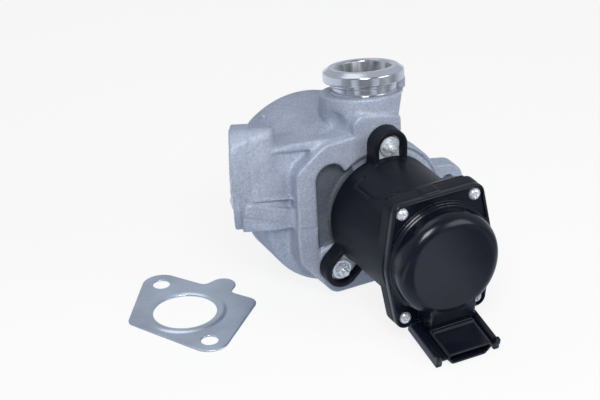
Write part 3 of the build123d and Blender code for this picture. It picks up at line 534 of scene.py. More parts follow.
class ValveSettings(bpy.types.PropertyGroup):
    """Sizes and colours of the dressed valve."""

    cast_colour: bpy.props.FloatVectorProperty(
        name="Cast colour",
        description="Colour of the cast alloy",
        subtype="COLOR",
        default=(0.425, 0.475, 0.58),
    )
    machined_colour: bpy.props.FloatVectorProperty(
        name="Machined colour",
        description="Colour of the turned alloy",
        subtype="COLOR",
        default=(0.62, 0.645, 0.69),
    )
    body_colour: bpy.props.FloatVectorProperty(
        name="Body colour",
        description="Colour of the actuator's body",
        subtype="COLOR",
        default=(0.0055, 0.007, 0.013),
    )
    cover_colour: bpy.props.FloatVectorProperty(
        name="Cover colour",
        description="Colour of the cover",
        subtype="COLOR",
        default=(0.0055, 0.007, 0.014),
    )
    screw_colour: bpy.props.FloatVectorProperty(
        name="Screw colour",
        description="Colour of the zinc-plated screws",
        subtype="COLOR",
        default=(0.8, 0.85, 0.92),
    )
    gasket_colour: bpy.props.FloatVectorProperty(
        name="Gasket colour",
        description="Colour of the steel gasket",
        subtype="COLOR",
        default=(0.6, 0.66, 0.745),
    )
    cast_step: bpy.props.FloatProperty(
        name="Casting detail",
        description="Grid spacing of the casting's surface, in millimetres",
        default=0.7,
        min=0.5,
    )
    mould_step: bpy.props.FloatProperty(
        name="Moulding detail",
        description="Grid spacing of the plastic surfaces, in millimetres",
        default=0.55,
        min=0.3,
    )
    cast_grain: bpy.props.FloatProperty(
        name="Casting grain",
        description="Height of the sand grain",
        subtype="DISTANCE",
        default=0.00012,
        precision=6,
    )
    lamp_power: bpy.props.FloatProperty(
        name="Lamp power",
        description="Power of the key lamp",
        unit="POWER",
        default=2.0,
    )


def settings():
    """The scene's settings."""
    return bpy.context.scene.gas_valve


def tone(name):
    """One of the settings' colours."""
    return tuple(getattr(settings(), name + "_colour"))


def detail(step):
    """Grid spacing, as given."""
    return step


# Casting


def plate_outline(across, up):
    """The actuator plate's outline with its round pad and three lug bosses."""
    corners = [(0, 41.6), (-29, 41.6), (-45, 29.6), (-45, -18.9), (-27.5, -40.8), (6, -40.8), (27, 0)]
    outline = convex_outline(across, up, corners, 3.0)
    outline = join(outline, disc(across, up, (0, 0), 33.7), 1.0)
    for spot in LUG_SPOTS:
        outline = join(outline, disc(across, up, spot, LUG_BOSS), 1.6)
    return outline


def plate_field(across, up, deep):
    """The plate: its outer land, a pad above the top lug, and a shelf set back on the left."""
    plate = stretch(plate_outline(across, up), deep, 0, 11, 1.0, 0.3)
    corners = [(-13.3, 38), (-13.3, 48.6), (-9.6, 51.6), (12.4, 46.6), (12.4, 38)]
    pad = convex_outline(across, up, corners, 1.5)
    plate = join(plate, stretch(pad, deep, 0, 11, 0.8, 0), 0.6)
    shelf = convex_outline(across, up, [(-60, 4.5), (-34.4, -1.7), (-33.8, -19), (-30, -60), (-60, -60)], 0.4)
    return carve(plate, meet(shelf, deep - 0.9, 0.3), 0.5)


def pocket_field(across, up, deep):
    """The hollow beside the actuator: a round-ended pocket and the narrow gaps above it and on the right."""
    around = np.hypot(across, up)
    pocket = slab_hull(across, up, (-26.6, 22.4), 7.9, (-25.0, -12), 9.2)
    gap = meet(around - 30.6, np.maximum(across + 3, 16 - up), 0.3)
    pocket = join(pocket, gap, 1.0)
    for spot in LUG_SPOTS[1:]:
        pocket = carve(pocket, disc(across, up, spot, LUG_BOSS), 0.5)
    pocket = carve(pocket, around - 24.6, 0.3)
    floor = np.clip(1.0 + (up + 19) * 0.3, 1.0, 7.0)
    right_gap = meet(np.abs(around - 31.2) - 0.4, 5 - across, 0.2)
    return join(meet(pocket, deep - floor, 2.0), meet(right_gap, deep - 1.2))


def neck_field(x, y, z):
    """Inlet neck and flange: a squared tube with a hollowed front, a low ridge, a rib and two bosses."""
    across, along, up = valve_axes(x, y, z)
    deep = -along
    front, height, outwards = inlet_axes(x, y, z)
    neck = slab_hull(front, height, (0, 0), 19.5, (16, 14), 10)
    neck = join(neck, slab_hull(front, height, (0, 0), 19.5, (16, -10.5), 10))
    neck = join(neck, slab_hull(front, height, (16, 14), 10, (16, -10.5), 10))
    neck = stretch(neck, outwards, -62, -4)
    flat_front = 4.5 - deep
    neck = meet(neck, flat_front, 2.0)
    face = convex_outline(across, up, [(-62, 43.0), (-30, 37.6), (-30, 8), (-62, 8)], 2.5)
    fall = deep - 4.5 - np.clip((across + 61) * 0.21, 0, 3.6)
    neck = carve(neck, meet(face, fall, 0.5), 1.6)
    ridge = (across + 65.4) * 0.207 + (up - 19.2)
    rib_top = 18.5 - (across + 67.5) * 0.4184
    hollow = deep - 5.4 - np.clip((up - rib_top) * 0.55, 0, 4)
    neck = carve(neck, meet(ridge, hollow, 0.3), 0.4)
    edge = slab_hull(across, up, (-66, 19.6), 0.5, (-43, 14.9), 0.5)
    neck = join(neck, stretch(edge, deep, 4.6, 12, 0.4, 0), 1.2)
    rib = slab_hull(across, up, (-68, 14.6), 3.5, (-43.7, 4.7), 3.9)
    rib = stretch(rib, deep, 4.4, 26, 1.2, 0)

    ears = [slab_hull(front, height, (0, 0), 25.5, spot, FLANGE_EAR) for spot in FLANGE_SPOTS]
    rounds = [disc(front, height, spot, FLANGE_EAR) for spot in FLANGE_SPOTS]
    flange = meet(stretch(join(*ears), outwards, -9.3, 0, 0.5, 0.5), flat_front - 0.1, 1.5)
    bosses = meet(stretch(join(*rounds), outwards, -21.6, -1, 3.5, 0), flat_front + 0.1, 5.0)
    return join(join(join(neck, rib, 0.5), bosses, 1.5), flange, 0.3)


def casting_field(x, y, z):
    """The whole casting as one distance field."""
    across, along, up = valve_axes(x, y, z)
    deep = -along
    front, height, outwards = inlet_axes(x, y, z)
    radius, top = spigot_axes(x, y, z)
    around = np.hypot(across, up)
    drum = stretch(disc(across, up, DRUM_SPOT, 42.0), deep, 11.5, 64, 3, 8)
    drum = meet(drum, outwards + 5.5, 4.0)
    mark = np.sqrt((across + 36.6) ** 2 + (deep - 53.5) ** 2 + (up - 36.8) ** 2) - 1.5
    drum = join(drum, mark, 0.6)
    radial = np.hypot(x - 67.5 - top * 0.147, y + 9.94 - top * 0.08) - 21.14 - top * 0.07
    spigot = stretch(radial, top, -52, -12.2, 1, 1.0)
    tab = np.sqrt((x - 85.4) ** 2 + (y + 12.6) ** 2) - 3.6
    spigot = join(spigot, stretch(tab, z, 31.8, 38.4, 1.0, 1.4), 1.5)
    ear = slab_hull(across, up, EAR_SPOT, 8.7, (17.5, 3.8), 10.7)
    ear = stretch(ear, deep, 4, 14, 0.8, 1.0)

    body = join(drum, neck_field(x, y, z), 2.0)
    body = join(body, spigot, 1.4)
    hollow = np.sqrt((across + 20.5) ** 2 + ((deep - 8.5) * 0.8) ** 2 + ((up - 46.5) * 1.1) ** 2) - 6.5
    body = carve(body, hollow, 1.5)
    body = join(body, ear, 1.5)
    body = join(body, plate_field(across, up, deep), 2.4)
    body = carve(body, pocket_field(across, up, deep), 1.6)

    # Gas passages, seats and holes
    chamber = stretch(disc(across, up, DRUM_SPOT, 36), deep, 30.5, 58, 0, 2)
    body = carve(body, meet(chamber, outwards + 9.5, 2.0))
    for bore, start, end in ((17.05, 25.5, 30.6), (15, 9, 25.6), (8.05, -2, 4), (6.05, 3, 10)):
        body = carve(body, stretch(around - bore, deep, start, end))
    lip = stretch(disc(front, height, (0, 0), 15.4), outwards, -2, 1.2, 0, 0.3)
    body = join(body, lip, 0.4)
    body = carve(body, stretch(disc(front, height, (0, 0), PORT_RADIUS), outwards, -17, 5))
    body = carve(body, tunnel(x, y, z, (15.344, -7.319, 0), (56.5, 12.25, -11), PORT_RADIUS), 0.6)
    body = carve(body, stretch(radius - 13.9, top, -29.7, 20))
    body = carve(body, tunnel(x, y, z, (66.1, -14.85, 17), (64, -14.85, -13), 9.5, opened=False), 0.6)
    for spot in LUG_SPOTS:
        body = carve(body, stretch(disc(across, up, spot, 2.55), deep, -2, 13))
    for spot in FLANGE_SPOTS:
        body = carve(body, stretch(disc(front, height, spot, 3.4), outwards, -12.5, 5), 0.5)
    return carve(body, stretch(disc(across, up, EAR_SPOT, 3.3), deep, 0, 20))


def tunnel(x, y, z, start, end, radius, opened=True):
    """A round passage between two points, with a ball of its radius round its start where that is opened."""
    start = np.array(start, dtype=float)
    way = np.array(end) - start
    length = float(np.linalg.norm(way))
    way = way / length
    run = (x - start[0]) * way[0] + (y - start[1]) * way[1] + (z - start[2]) * way[2]
    square = (x - start[0]) ** 2 + (y - start[1]) ** 2 + (z - start[2]) ** 2
    tube = stretch(np.sqrt(np.maximum(square - run * run, 0)) - radius, run, 0, length)
    return join(tube, np.sqrt(square) - radius, 1.0) if opened else tube


class VALVE_OT_casting(bpy.types.Operator):
    """Casting: one distance field of drum, plate, neck, flange, ear and spigot neck with cast fillets"""

    bl_idname = "valve.casting"
    bl_label = "Casting"

    def execute(self, context):
        step = detail(settings().cast_step)
        low, high = (-16, -37, -63), (114, 34, 40)
        points, faces = skin(casting_field(*lattice(low, high, step)), low, step)
        middles = face_middles(points, faces)
        _, _, outwards = inlet_axes(*middles.T)
        across, along, up = valve_axes(*middles.T)
        # Faces in the pocket beside the actuator take a copy of the cast alloy at a third of its brightness,
        # on a finer grain: painted shade for the recess
        sunk = (along < -1.6) & (along > -8.5) & (np.hypot(across, up) < 45) & (np.abs(up - 5) < 27)
        sunk &= (across < -12) & (across > -35.2) & (up > -14)
        kinds = np.where(outwards > -0.35, 1, np.where(sunk, 2, 0))
        cast = cast_metal("cast_alloy", tone("cast"), settings().cast_grain)
        mill = machined_metal("milled_face", tone("machined"), lines=(1, 1, 1))
        # Painted shade: the cast colour darkened to a third for the pocket's faces
        painted_shade_tone = scaled(tone("cast"), 0.34)
        painted_shade_alloy = cast_metal("sheltered_skin", painted_shade_tone, settings().cast_grain * 0.3)
        finishes = [cast, mill, painted_shade_alloy]
        stand_in("housing_casting", (points, faces), finishes, 0.62, "valve_housing", kinds)
        return {"FINISHED"}


class VALVE_OT_spigot(bpy.types.Operator):
    """Machined end of the hose spigot: ring, groove, shoulder and bore, turned from one profile"""

    bl_idname = "valve.spigot"
    bl_label = "Spigot end"

    def execute(self, context):
        corners = [
            (13.8, -29), (13.8, -0.9), (14.3, 0), (16.9, 0), (19.7, -1.9), (19.9, -2.4), (19.9, -6.2),
            (19.6, -6.6), (17.6, -6.7), (16.4, -7.0), (16.4, -8.6), (15.9, -8.8), (15.9, -11.9),
            (16.2, -12.25), (18.8, -12.25), (18.8, -13.5),
        ]
        points, faces = turn(rounded_path(corners, 0.2, 3), SPIGOT_TOP, SPIGOT_LEAN, 160)
        metal = machined_metal("turned_spigot", tone("machined"), (0.3, 0.3, 40), 0.17, 0.0000004)
        # The bore's faces get painted reflection streaks
        painted_reflection_bore = reflection_streaked_metal("bored_spigot", tone("machined"))
        radius, top = spigot_axes(*face_middles(points, faces).T)
        kinds = np.where((radius < 14.1) & (top < -0.9), 1, 0)
        obj = piece("spigot_ring", points, faces[:, ::-1], [metal, painted_reflection_bore], kinds)
        return {"FINISHED"}


# Actuator body and cover


def block_outline(across, up):
    """Outline of the square front: four round corners and the round middle, joined by tangents."""
    outline = box_outline(across, up, (0, 0), 24.4, 32.9, 5.2)
    for spot in COVER_SPOTS:
        outline = join(outline, slab_hull(across, up, (0, 0), 28.6, spot, 5.2))
    return outline


def tab_outline(across, up):
    """The square tab on top of the block and of the cover."""
    return box_outline(across, up, (-2.1, 31.3), 4.2, 2.3, 0.4)


def body_field(x, y, z):
    """The actuator's body: barrel, front block, top housing and three open lugs."""
    across, along, up = valve_axes(x, y, z)
    around = np.hypot(across, up)
    barrel = stretch(around - 29, along, 0, BLOCK_END, 2.4, 0)
    block = stretch(block_outline(across, up), along, 46.6, BLOCK_END, 1.2, 0.25)
    slope = (along - 16) * 0.5175 + 17
    ramp = meet(up - slope, meet(np.abs(across) - 21, meet(16 - along, along - 44.4, 0.3), 0.4), 0.6)
    ramp = meet(ramp, -up, 0.5)
    shell = join(barrel, ramp, 0.3)
    for start, end in zip(RAMP_EDGE, RAMP_EDGE[1:]):
        shell = carve(shell, tunnel(across, along, up, start, end, 0.65), 0.2)
    shell = join(shell, block, 0.3)
    for way, tip in zip(LUG_WAYS, LUG_SPOTS):
        root = (24 * way[0], 24 * way[1])
        outer = stretch(slab_hull(across, up, tip, 9.1, root, 9.11), along, 0, LUG_HEIGHT, 0.8, 1.0)
        inner = stretch(slab_hull(across, up, tip, 6.4, root, 6.41), along, 2, 20)
        inner = carve(inner, around - 29.2, 0.6)
        shell = join(shell, outer, 1.0)
        shell = carve(shell, inner, 0.6)
        shell = carve(shell, stretch(disc(across, up, tip, 4.05), along, -1, 3))
    shell = join(shell, stretch(tab_outline(across, up), along, 47.4, BLOCK_END, 0.3, 0), 0.2)
    for bore, start, end in ((14, -2, 24.4), (10.55, 24, 30), (26.05, 27.8, 60)):
        shell = carve(shell, stretch(around - bore, along, start, end))
    shell = carve(shell, stretch(np.abs(around - 21.5) - 1.5, along, -2, 1.6))
    for spot in COVER_SPOTS:
        shell = carve(shell, stretch(disc(across, up, spot, 1.55), along, 47.6, 60))
    return shell


def cover_field(x, y, z):
    """The cover: flange with screw pockets, dome on its base ring, neck and connector shell."""
    across, along, up = valve_axes(x, y, z)
    outline = block_outline(across, up)
    around = np.hypot(across, up)
    flange = stretch(outline, along, 54.02, COVER_FACE, 0.25, 0.9)
    hollow = carve(outline + 1.7, around - 28.1, 0.8)
    for spot in COVER_SPOTS:
        hollow = join(hollow, disc(across, up, spot, 4.1), 0.8)
    hollow = carve(hollow, around - 27.6, 0.4)
    flange = carve(flange, stretch(hollow, along, POCKET_FLOOR, 62), 0.4)
    ring = stretch(around - 27.3, along, 55, 58.9, 0, 0.4)
    dome = stretch(around - 26.5, along, 55, 70.4, 0, 6.5)
    throat = [(55, -8), (70.35, -8), (70.35, -17), (70.0, -22), (69.3, -26.5), (68.0, -31.0), (65.6, -34)]
    throat += [(63.6, -37.6), (55, -35.7)]
    neck = meet(convex_outline(along, up, throat, 0.5), np.abs(across) - 11.9, 1.2)
    cover = join(flange, ring, 0.5)
    cover = join(cover, dome, 0.6)
    cover = join(cover, neck, 0.2)
    c, s = math.cos(CONNECTOR_DROP), math.sin(CONNECTOR_DROP)
    forward = (along - 65) * c - (up + 31.3) * s
    rise = (along - 65) * s + (up + 31.3) * c
    corners = [(-11.2, -0.2), (11.2, -0.2), (12.2, -2.8), (9, -6.9), (-9, -6.9), (-12.2, -2.8)]
    mouth = convex_outline(across, rise, corners, 0.8)
    shell = stretch(mouth, forward, -1, 20, 0, 0.3)

    # Lip over the mouth, latch under it and the web between the rails
    bars = [(0, 11.2, 0.75, 3.3, 4.5, 0.3), (-6.6, 4.6, 0.8, 13.2, 19, 0.4), (-5.0, 14.5, 0.9, -9.6, 17.5, 0)]
    for height, half_width, half_height, start, end, rim in bars:
        bar = box_outline(across, rise, (0, height), half_width, half_height, 0.3)
        shell = join(shell, stretch(bar, forward, start, end, rim, 0.3), 0.3)
    for sign in (-1, 1):
        rail = box_outline(across, rise, (sign * 15.5, -4.9), 1.6, 2.5, 0.5)
        rail = stretch(rail, forward, -9, 19.0, 0.5, 0.5)
        hook = box_outline(across, rise, (sign * 15.9, -2.6), 1.2, 1.6, 0.4)
        hook = stretch(hook, forward, 16.6, 19.4, 0.4, 0.4)
        shell = join(shell, join(rail, hook, 0.3), 0.3)
    shell = carve(shell, stretch(mouth + 1.0, forward, 4.2, 25))
    cover = join(cover, shell, 0.6)
    cover = carve(cover, stretch(around - 24.3, along, 50, 68, 0, 4.5))
    for spot in COVER_SPOTS:
        cover = carve(cover, stretch(disc(across, up, spot, 1.6), along, 50, 60))
    return join(cover, stretch(tab_outline(across, up), along, 54.02, 56.6, 0, 0.3), 0.2)


class VALVE_OT_actuator(bpy.types.Operator):
    """Actuator body: one distance field of barrel, block, top housing and lugs with moulded edges"""

    bl_idname = "valve.actuator"
    bl_label = "Actuator body"

    def execute(self, context):
        step = detail(settings().mould_step)
        low, high = (20, -86.4, -62), (108, -31.4, 28)
        shell = skin(body_field(*lattice(low, high, step)), low, step)
        plastic = black_plastic("body_plastic", tone("body"), 0.46, 0.00001)
        stand_in("actuator_shell", shell, [plastic], 0.5, "actuator_body")
        return {"FINISHED"}


class VALVE_OT_cover(bpy.types.Operator):
    """Cover: one distance field of flange, dome, neck and connector shell"""

    bl_idname = "valve.cover"
    bl_label = "Cover"

    def execute(self, context):
        step = detail(settings().mould_step * 0.76)
        low, high = (34, -118, -66), (94, -85.4, 16)
        shell = skin(cover_field(*lattice(low, high, step)), low, step)
        plastic = black_plastic("cover_plastic", tone("cover"), 0.2, 0.0000006, 0.34)
        stand_in("cover_shell", shell, [plastic], 0.6, "actuator_cover")
        return {"FINISHED"}


# Screws


def screw_copies(points, faces, spots, seat):
    """One screw's surface copied to each spot: across and up from the spot, along from the seat."""
    places = [np.array([AXIS_X + across, FACE_Y - seat, AXIS_Z + up]) for across, up in spots]
    return gather([(points + place, faces) for place in places])


class VALVE_OT_screws(bpy.types.Operator):
    """Screws: pan heads with a cross recess on the cover, flanged six-lobed heads in the lugs"""

    bl_idname = "valve.screws"
    bl_label = "Screws"

    def execute(self, context):
        zinc = plain_metal("zinc_plate", tone("screw"), 0.27, 0.55, 120, 0.0000002)
        self.cover_screws(zinc)
        self.lug_screws(zinc)
        self.seats()
        return {"FINISHED"}

    def cover_screws(self, zinc):
        """Pan heads cut from a cylinder and a ball, with a cross recess that narrows inwards."""
        step = detail(0.2)
        low, high = (-3.6, -3.4, -3.6), (3.6, 8.4, 3.6)
        x, y, z = lattice(low, high, step)
        around = np.hypot(x, z)
        along = -y
        ball = np.sqrt(x * x + z * z + (along + 1.3) ** 2) - 3.75
        head = meet(stretch(around - 3.0, along, 0, 2.5, 0.2, 0.4), ball, 0.4)
        arm_a = box_outline(x, z, (0, 0), 1.75, 0.42, 0.1)
        arm_b = box_outline(x, z, (0, 0), 0.42, 1.75, 0.1)
        sunk = stretch(join(arm_a, arm_b, 0.3) + np.maximum(2.4 - along, 0) * 0.35, along, 0.9, 5)
        shank = stretch(around - 1.5, along, -7.8, 0.1, 0.3, 0)
        shell = skin(join(carve(head, sunk, 0.2), shank), low, step)
        shells = screw_copies(*shell, COVER_SPOTS, POCKET_FLOOR)
        stand_in("cover_screw_set", shells, [zinc], 0.7, "cover_screws")

    def lug_screws(self, zinc):
        """Dished collars with a six-lobed head and a pin: the head's radius swings six times a turn."""
        step = detail(0.22)
        low, high = (-6, -9, -6), (6, 15.9, 6)
        x, y, z = lattice(low, high, step)
        around = np.hypot(x, z)
        along = -y
        lobes = around - (2.9 + 0.3 * np.cos(6 * np.arctan2(z, x)))
        collar = stretch(around - 5.1, along, 0.25, 1.7, 0.5, 0.3)
        dish = stretch(around - 3.7, along, 0.8, 3)
        head = stretch(lobes, along, 0.4, 3.6, 0, 0.3)
        tip = stretch(around - 1.5, along, 3, 6.6, 0, 0.5)
        shank = stretch(around - 2.5, along, -15.6, 0.2, 0.4, 0)
        field = join(join(carve(collar, dish, 0.3), head, 0.2), tip, 0.4)
        shells = screw_copies(*skin(join(field, shank), low, step), LUG_SPOTS, SEAT_HEIGHT)
        stand_in("lug_screw_set", shells, [zinc], 0.6, "lug_screws")

    def seats(self):
        """Steel seats in the lugs: U-shaped plates with a hole for the screw."""
        step = detail(0.4)
        shells = []
        for way, spot in zip(LUG_WAYS, LUG_SPOTS):
            low = (AXIS_X + spot[0] - 9, FACE_Y - SEAT_HEIGHT - 1, AXIS_Z + spot[1] - 9)
            across, along, up = valve_axes(*lattice(low, (low[0] + 18, FACE_Y - 1, low[2] + 18), step))
            root = (20 * way[0], 20 * way[1])
            seat = stretch(slab_hull(across, up, spot, 6.3, root, 6.31), along, 2.1, SEAT_HEIGHT, 0, 0.3)
            seat = carve(seat, disc(across, up, (0, 0), 29.3))
            seat = carve(seat, disc(across, up, spot, 2.7), 0.3)
            shells.append(skin(seat, low, step))
        steel = plain_metal("seat_steel", tone("screw"), 0.42, 0.15, 160, 0.0000002)
        stand_in("lug_seat_set", gather(shells), [steel], 0.4, "lug_plates")


# Gasket


class VALVE_OT_gasket(bpy.types.Operator):
    """Gasket: a pressed sheet lying on the floor, with a rolled bead round its port"""

    bl_idname = "valve.gasket"
    bl_label = "Gasket"

    def execute(self, context):
        step = detail(0.3)
        low, high = (-76, -50, FLOOR_Z - 0.6), (10, 38, FLOOR_Z + 2.4)
        x, y, z = lattice(low, high, step)
        c, s = math.cos(GASKET_TURN), math.sin(GASKET_TURN)
        a = (x - GASKET_PLACE[0]) * c + (y - GASKET_PLACE[1]) * s
        b = (y - GASKET_PLACE[1]) * c - (x - GASKET_PLACE[0]) * s
        rise = z - FLOOR_Z
        sheet = convex_outline(a, b, [spot for spot, radius in GASKET_CORNERS], 0)
        for start, end in zip(GASKET_CORNERS, GASKET_CORNERS[1:] + GASKET_CORNERS[:1]):
            sheet = join(sheet, slab_hull(a, b, *start, *end))
        sheet = join(sheet, slab_hull(a, b, *GASKET_LOBE), 3.0)
        radial = np.hypot(a, b)
        field = stretch(sheet, rise, 0, 0.85, 0, 0.25)
        bead = np.hypot(radial - 18.1, (rise + 0.3) * 1.25) - 2.2
        field = meet(join(field, bead, 1.2), -rise)
        field = carve(field, radial - 15.7, 0.2)
        for spot in (GASKET_CORNERS[0][0], GASKET_CORNERS[2][0]):
            field = carve(field, disc(a, b, spot, 4.25))
        steel = plain_metal("gasket_sheet", tone("gasket"), 0.3, 1.0, 40, 0.0000002)
        stand_in("gasket_sheet", skin(field, low, step), [steel], 0.55, "flange_gasket")
        return {"FINISHED"}


# Inner pieces


class VALVE_OT_inside(bpy.types.Operator):
    """Finishes of the pieces that keep their own solids: seals, motor, spindle, board, pins and seats"""

    bl_idname = "valve.inside"
    bl_label = "Inner finishes"

    def execute(self, context):
        record = frame["record"]
        by_slot = {m["slot"]: m for m in record["materials"]}
        finishes = {}
        for part in record["subparts"]:
            slot = by_slot[part["material_slot"]]
            if slot["slot"] not in finishes:
                finishes[slot["slot"]] = inner_finish(slot, tuple(slot["base_color"][:3]))
            mesh = frame["nodes"][part["node"]].data
            mesh.materials.clear()
            mesh.materials.append(finishes[slot["slot"]])
        self.spring(frame["nodes"]["return_spring"])
        return {"FINISHED"}

    def spring(self, obj):
        """Gives the return spring its own copy of its mesh."""
        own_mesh(obj)


# Stage

SEEN_RAYS = ("Is Camera Ray", "Is Transmission Ray")
SENSOR_WIDTH = 36
PICTURE_WIDTH = 600


class VALVE_OT_stage(bpy.types.Operator):
    """Stage: pale floor, soft lamps and the camera at the photograph's angle"""

    bl_idname = "valve.stage"
    bl_label = "Stage"

    def execute(self, context):
        scene = context.scene
        scene.view_settings.view_transform = "Standard"
        self.floor()
        self.world(scene)
        self.lamps(scene)
        self.camera(scene)
        return {"FINISHED"}

    def show(self, nodes, links, below, rays, colour, strength, share=1.0):
        """Lays plain light of a colour over what is below it, for some kinds of ray only."""
        path = nodes.new("ShaderNodeLightPath")
        seen = path.outputs[rays[0]]
        for name in rays[1:]:
            add = nodes.new("ShaderNodeMath")
            add.operation = "ADD"
            add.use_clamp = True
            links.new(seen, add.inputs[0])
            links.new(path.outputs[name], add.inputs[1])
            seen = add.outputs[0]
        part = nodes.new("ShaderNodeMath")
        part.operation = "MULTIPLY"
        part.inputs[1].default_value = share
        links.new(seen, part.inputs[0])
        glow = nodes.new("ShaderNodeEmission")
        glow.inputs["Strength"].default_value = strength
        if hasattr(colour, "is_linked"):
            links.new(colour, glow.inputs["Color"])
        else:
            glow.inputs["Color"].default_value = (*colour, 1)
        mix = nodes.new("ShaderNodeMixShader")
        links.new(part.outputs[0], mix.inputs[0])
        links.new(below, mix.inputs[1])
        links.new(glow.outputs[0], mix.inputs[2])
        return mix.outputs[0]

    def strips(self, nodes, links, centre, stops):
        """Painted light and dark strips round a point, by direction, standing in for the reflections of a
        sheet and dark card panels round the valve.
        """
        where = nodes.new("ShaderNodeTexCoord")
        place = nodes.new("ShaderNodeMapping")
        place.inputs["Location"].default_value = (-centre[0], -centre[1], 0)
        links.new(where.outputs["Generated" if centre == (0, 0) else "Object"], place.inputs["Vector"])
        round_way = nodes.new("ShaderNodeTexGradient")
        round_way.gradient_type = "RADIAL"
        links.new(place.outputs["Vector"], round_way.inputs["Vector"])
        ramp = nodes.new("ShaderNodeValToRGB")
        while len(ramp.color_ramp.elements) < len(stops):
            ramp.color_ramp.elements.new(1.0)
        for element, (position, grey) in zip(ramp.color_ramp.elements, stops):
            element.position = position
            element.color = (grey * 0.92, grey * 0.98, grey * 1.1, 1)
        links.new(round_way.outputs["Fac"], ramp.inputs["Fac"])
        return ramp.outputs["Color"], place.outputs["Vector"]

    def floor(self):
        """A wide floor just under the gasket: white, with painted reflections of dark card panels beyond the
        picture's edge that only glossy rays see.
        """
        reach = 4000.0
        corners = [(-reach, -reach), (reach, -reach), (reach, reach), (-reach, reach)]
        points = np.array([(a, b, FLOOR_Z - 0.05) for a, b in corners])
        mesh = bpy.data.meshes.new("floor")
        mesh.from_pydata((points / 1000).tolist(), [], [(0, 1, 2, 3)])
        material = bpy.data.materials.new("floor_white")
        material.use_nodes = True
        nodes, links = material.node_tree.nodes, material.node_tree.links
        bsdf = nodes["Principled BSDF"]
        bsdf.inputs["Base Color"].default_value = (0.92, 0.92, 0.93, 1)
        bsdf.inputs["Roughness"].default_value = 0.9
        bsdf.inputs["Specular IOR Level"].default_value = 0.1
        # Painted reflections that only glossy rays see: a plain blue-grey sheet near the valve and light and
        # dark card strips farther out; nothing stands there
        stops = [
            (0.0, 0.5), (0.075, 0.25), (0.09, 1.0), (0.125, 1.0), (0.14, 0.25), (0.18, 0.35), (0.225, 0.2),
            (0.245, 1.0), (0.285, 1.0), (0.3, 0.2), (0.36, 0.5), (0.42, 0.2), (0.5, 0.7), (0.7, 0.9),
        ]
        card_reflections_painted, spot = self.strips(nodes, links, (0.066, -0.012), stops)
        far = nodes.new("ShaderNodeVectorMath")
        far.operation = "LENGTH"
        links.new(spot, far.inputs[0])
        near = nodes.new("ShaderNodeMapRange")
        near.inputs["From Min"].default_value = 0.12
        near.inputs["From Max"].default_value = 0.17
        links.new(far.outputs["Value"], near.inputs["Value"])
        sheet = nodes.new("ShaderNodeMix")
        sheet.data_type = "RGBA"
        sheet.inputs["A"].default_value = (0.68, 0.75, 0.88, 1)
        links.new(near.outputs["Result"], sheet.inputs["Factor"])
        links.new(card_reflections_painted, sheet.inputs["B"])
        shown = self.show(nodes, links, bsdf.outputs[0], ("Is Glossy Ray",), sheet.outputs["Result"], 1.0)
        shown = self.show(nodes, links, shown, SEEN_RAYS, (1, 1, 1), 1.0, 0.86)
        links.new(shown, nodes["Material Output"].inputs["Surface"])
        mesh.materials.append(material)
        obj = bpy.data.objects.new("floor", mesh)
        bpy.context.scene.collection.objects.link(obj)

    def world(self, scene):
        """White surroundings: a soft light on the valve, and lighter and darker sides in reflections."""
        world = bpy.data.worlds.new("studio")
        scene.world = world
        world.use_nodes = True
        nodes, links = world.node_tree.nodes, world.node_tree.links
        back = nodes["Background"]
        back.inputs["Color"].default_value = (0.93, 0.95, 1.0, 1)
        back.inputs["Strength"].default_value = 0.28
        stops = [(0.0, 0.9), (0.08, 0.35), (0.2, 0.25), (0.32, 0.3), (0.45, 0.8), (0.6, 1.0), (0.9, 1.0)]
        sides, _ = self.strips(nodes, links, (0, 0), stops)
        shown = self.show(nodes, links, back.outputs[0], ("Is Glossy Ray",), sides, 0.55)
        shown = self.show(nodes, links, shown, SEEN_RAYS, (1, 1, 1), 1.0)
        links.new(shown, nodes["World Output"].inputs["Surface"])

    def lamps(self, scene):
        """Three soft lamps that face the valve: key from the left above, fill from the front, and top."""
        power = settings().lamp_power
        rows = [
            ("key", (-0.12, -0.44, 0.40), 0.20, power),
            ("fill", (0.48, -0.62, 0.30), 0.40, power * 0.8),
            ("top", (-0.10, 0.16, 0.66), 0.45, power * 0.35),
        ]
        target = np.array([0.04, -0.02, -0.01])
        for name, place, size, watts in rows:
            data = bpy.data.lights.new(name, "AREA")
            data.size = size
            data.energy = watts
            lamp = bpy.data.objects.new(name, data)
            lamp.location = place
            lamp.rotation_mode = "QUATERNION"
            lamp.rotation_quaternion = Vector(target - np.array(place)).to_track_quat("-Z", "Y")
            scene.collection.objects.link(lamp)

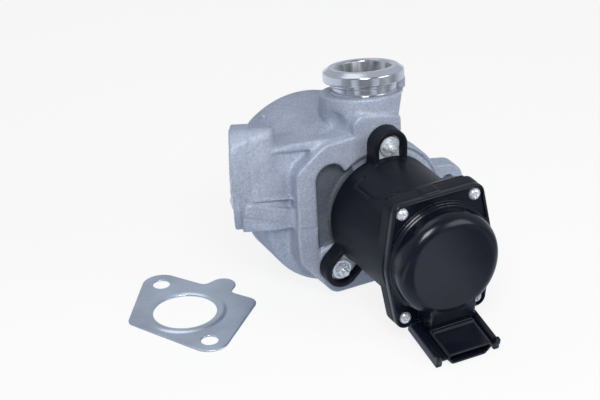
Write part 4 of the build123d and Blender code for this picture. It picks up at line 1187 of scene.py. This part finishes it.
    def camera(self, scene):
        """The camera fitted to the photograph's edges and circles."""
        azimuth, elevation, roll = (math.radians(a) for a in (-25.21, 28.18, -3.14))
        distance, slide_x, slide_y, focal = 1075.37, -39.91, 3.41, 2200.0
        level = math.cos(elevation)
        back = np.array([math.sin(azimuth) * level, -math.cos(azimuth) * level, math.sin(elevation)])
        right = np.array([math.cos(azimuth), math.sin(azimuth), 0.0])
        up = np.cross(back, right)
        turned = math.cos(roll) * right + math.sin(roll) * up
        upright = -math.sin(roll) * right + math.cos(roll) * up
        place = back * distance + turned * slide_x + upright * slide_y + np.array([AXIS_X, FACE_Y, AXIS_Z])
        data = bpy.data.cameras.new("photo_camera")
        data.sensor_width = SENSOR_WIDTH
        data.lens = SENSOR_WIDTH * focal / PICTURE_WIDTH
        data.clip_start = 0.01
        camera = bpy.data.objects.new("photo_camera", data)
        matrix = Matrix.Identity(4)
        for row in range(3):
            matrix[row][0] = turned[row]
            matrix[row][1] = upright[row]
            matrix[row][2] = back[row]
            matrix[row][3] = place[row] / 1000
        camera.matrix_world = matrix
        scene.collection.objects.link(camera)
        scene.camera = camera


class VALVE_PT_panel(bpy.types.Panel):
    """Lists the valve's pieces and settings"""

    bl_label = "Gas valve"
    bl_space_type = "VIEW_3D"
    bl_region_type = "UI"
    bl_category = "Gas valve"

    def draw(self, context):
        for cls in STEPS:
            self.layout.operator(cls.bl_idname)
        for name in ValveSettings.__annotations__:
            self.layout.prop(context.scene.gas_valve, name)


STEPS = (
    VALVE_OT_inside,
    VALVE_OT_casting,
    VALVE_OT_spigot,
    VALVE_OT_actuator,
    VALVE_OT_cover,
    VALVE_OT_screws,
    VALVE_OT_gasket,
    VALVE_OT_stage,
)
CLASSES = (ValveSettings, *STEPS, VALVE_PT_panel)


def register():
    """Registers the classes and the scene's settings."""
    for cls in CLASSES:
        bpy.utils.register_class(cls)
    bpy.types.Scene.gas_valve = bpy.props.PointerProperty(type=ValveSettings)


def unregister():
    """Removes the settings and the classes."""
    del bpy.types.Scene.gas_valve
    for cls in reversed(CLASSES):
        bpy.utils.unregister_class(cls)


def main():
    """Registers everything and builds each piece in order."""
    register()
    for cls in STEPS:
        group, name = cls.bl_idname.split(".")
        getattr(getattr(bpy.ops, group), name)()


if __name__ == "__main__":
    main()
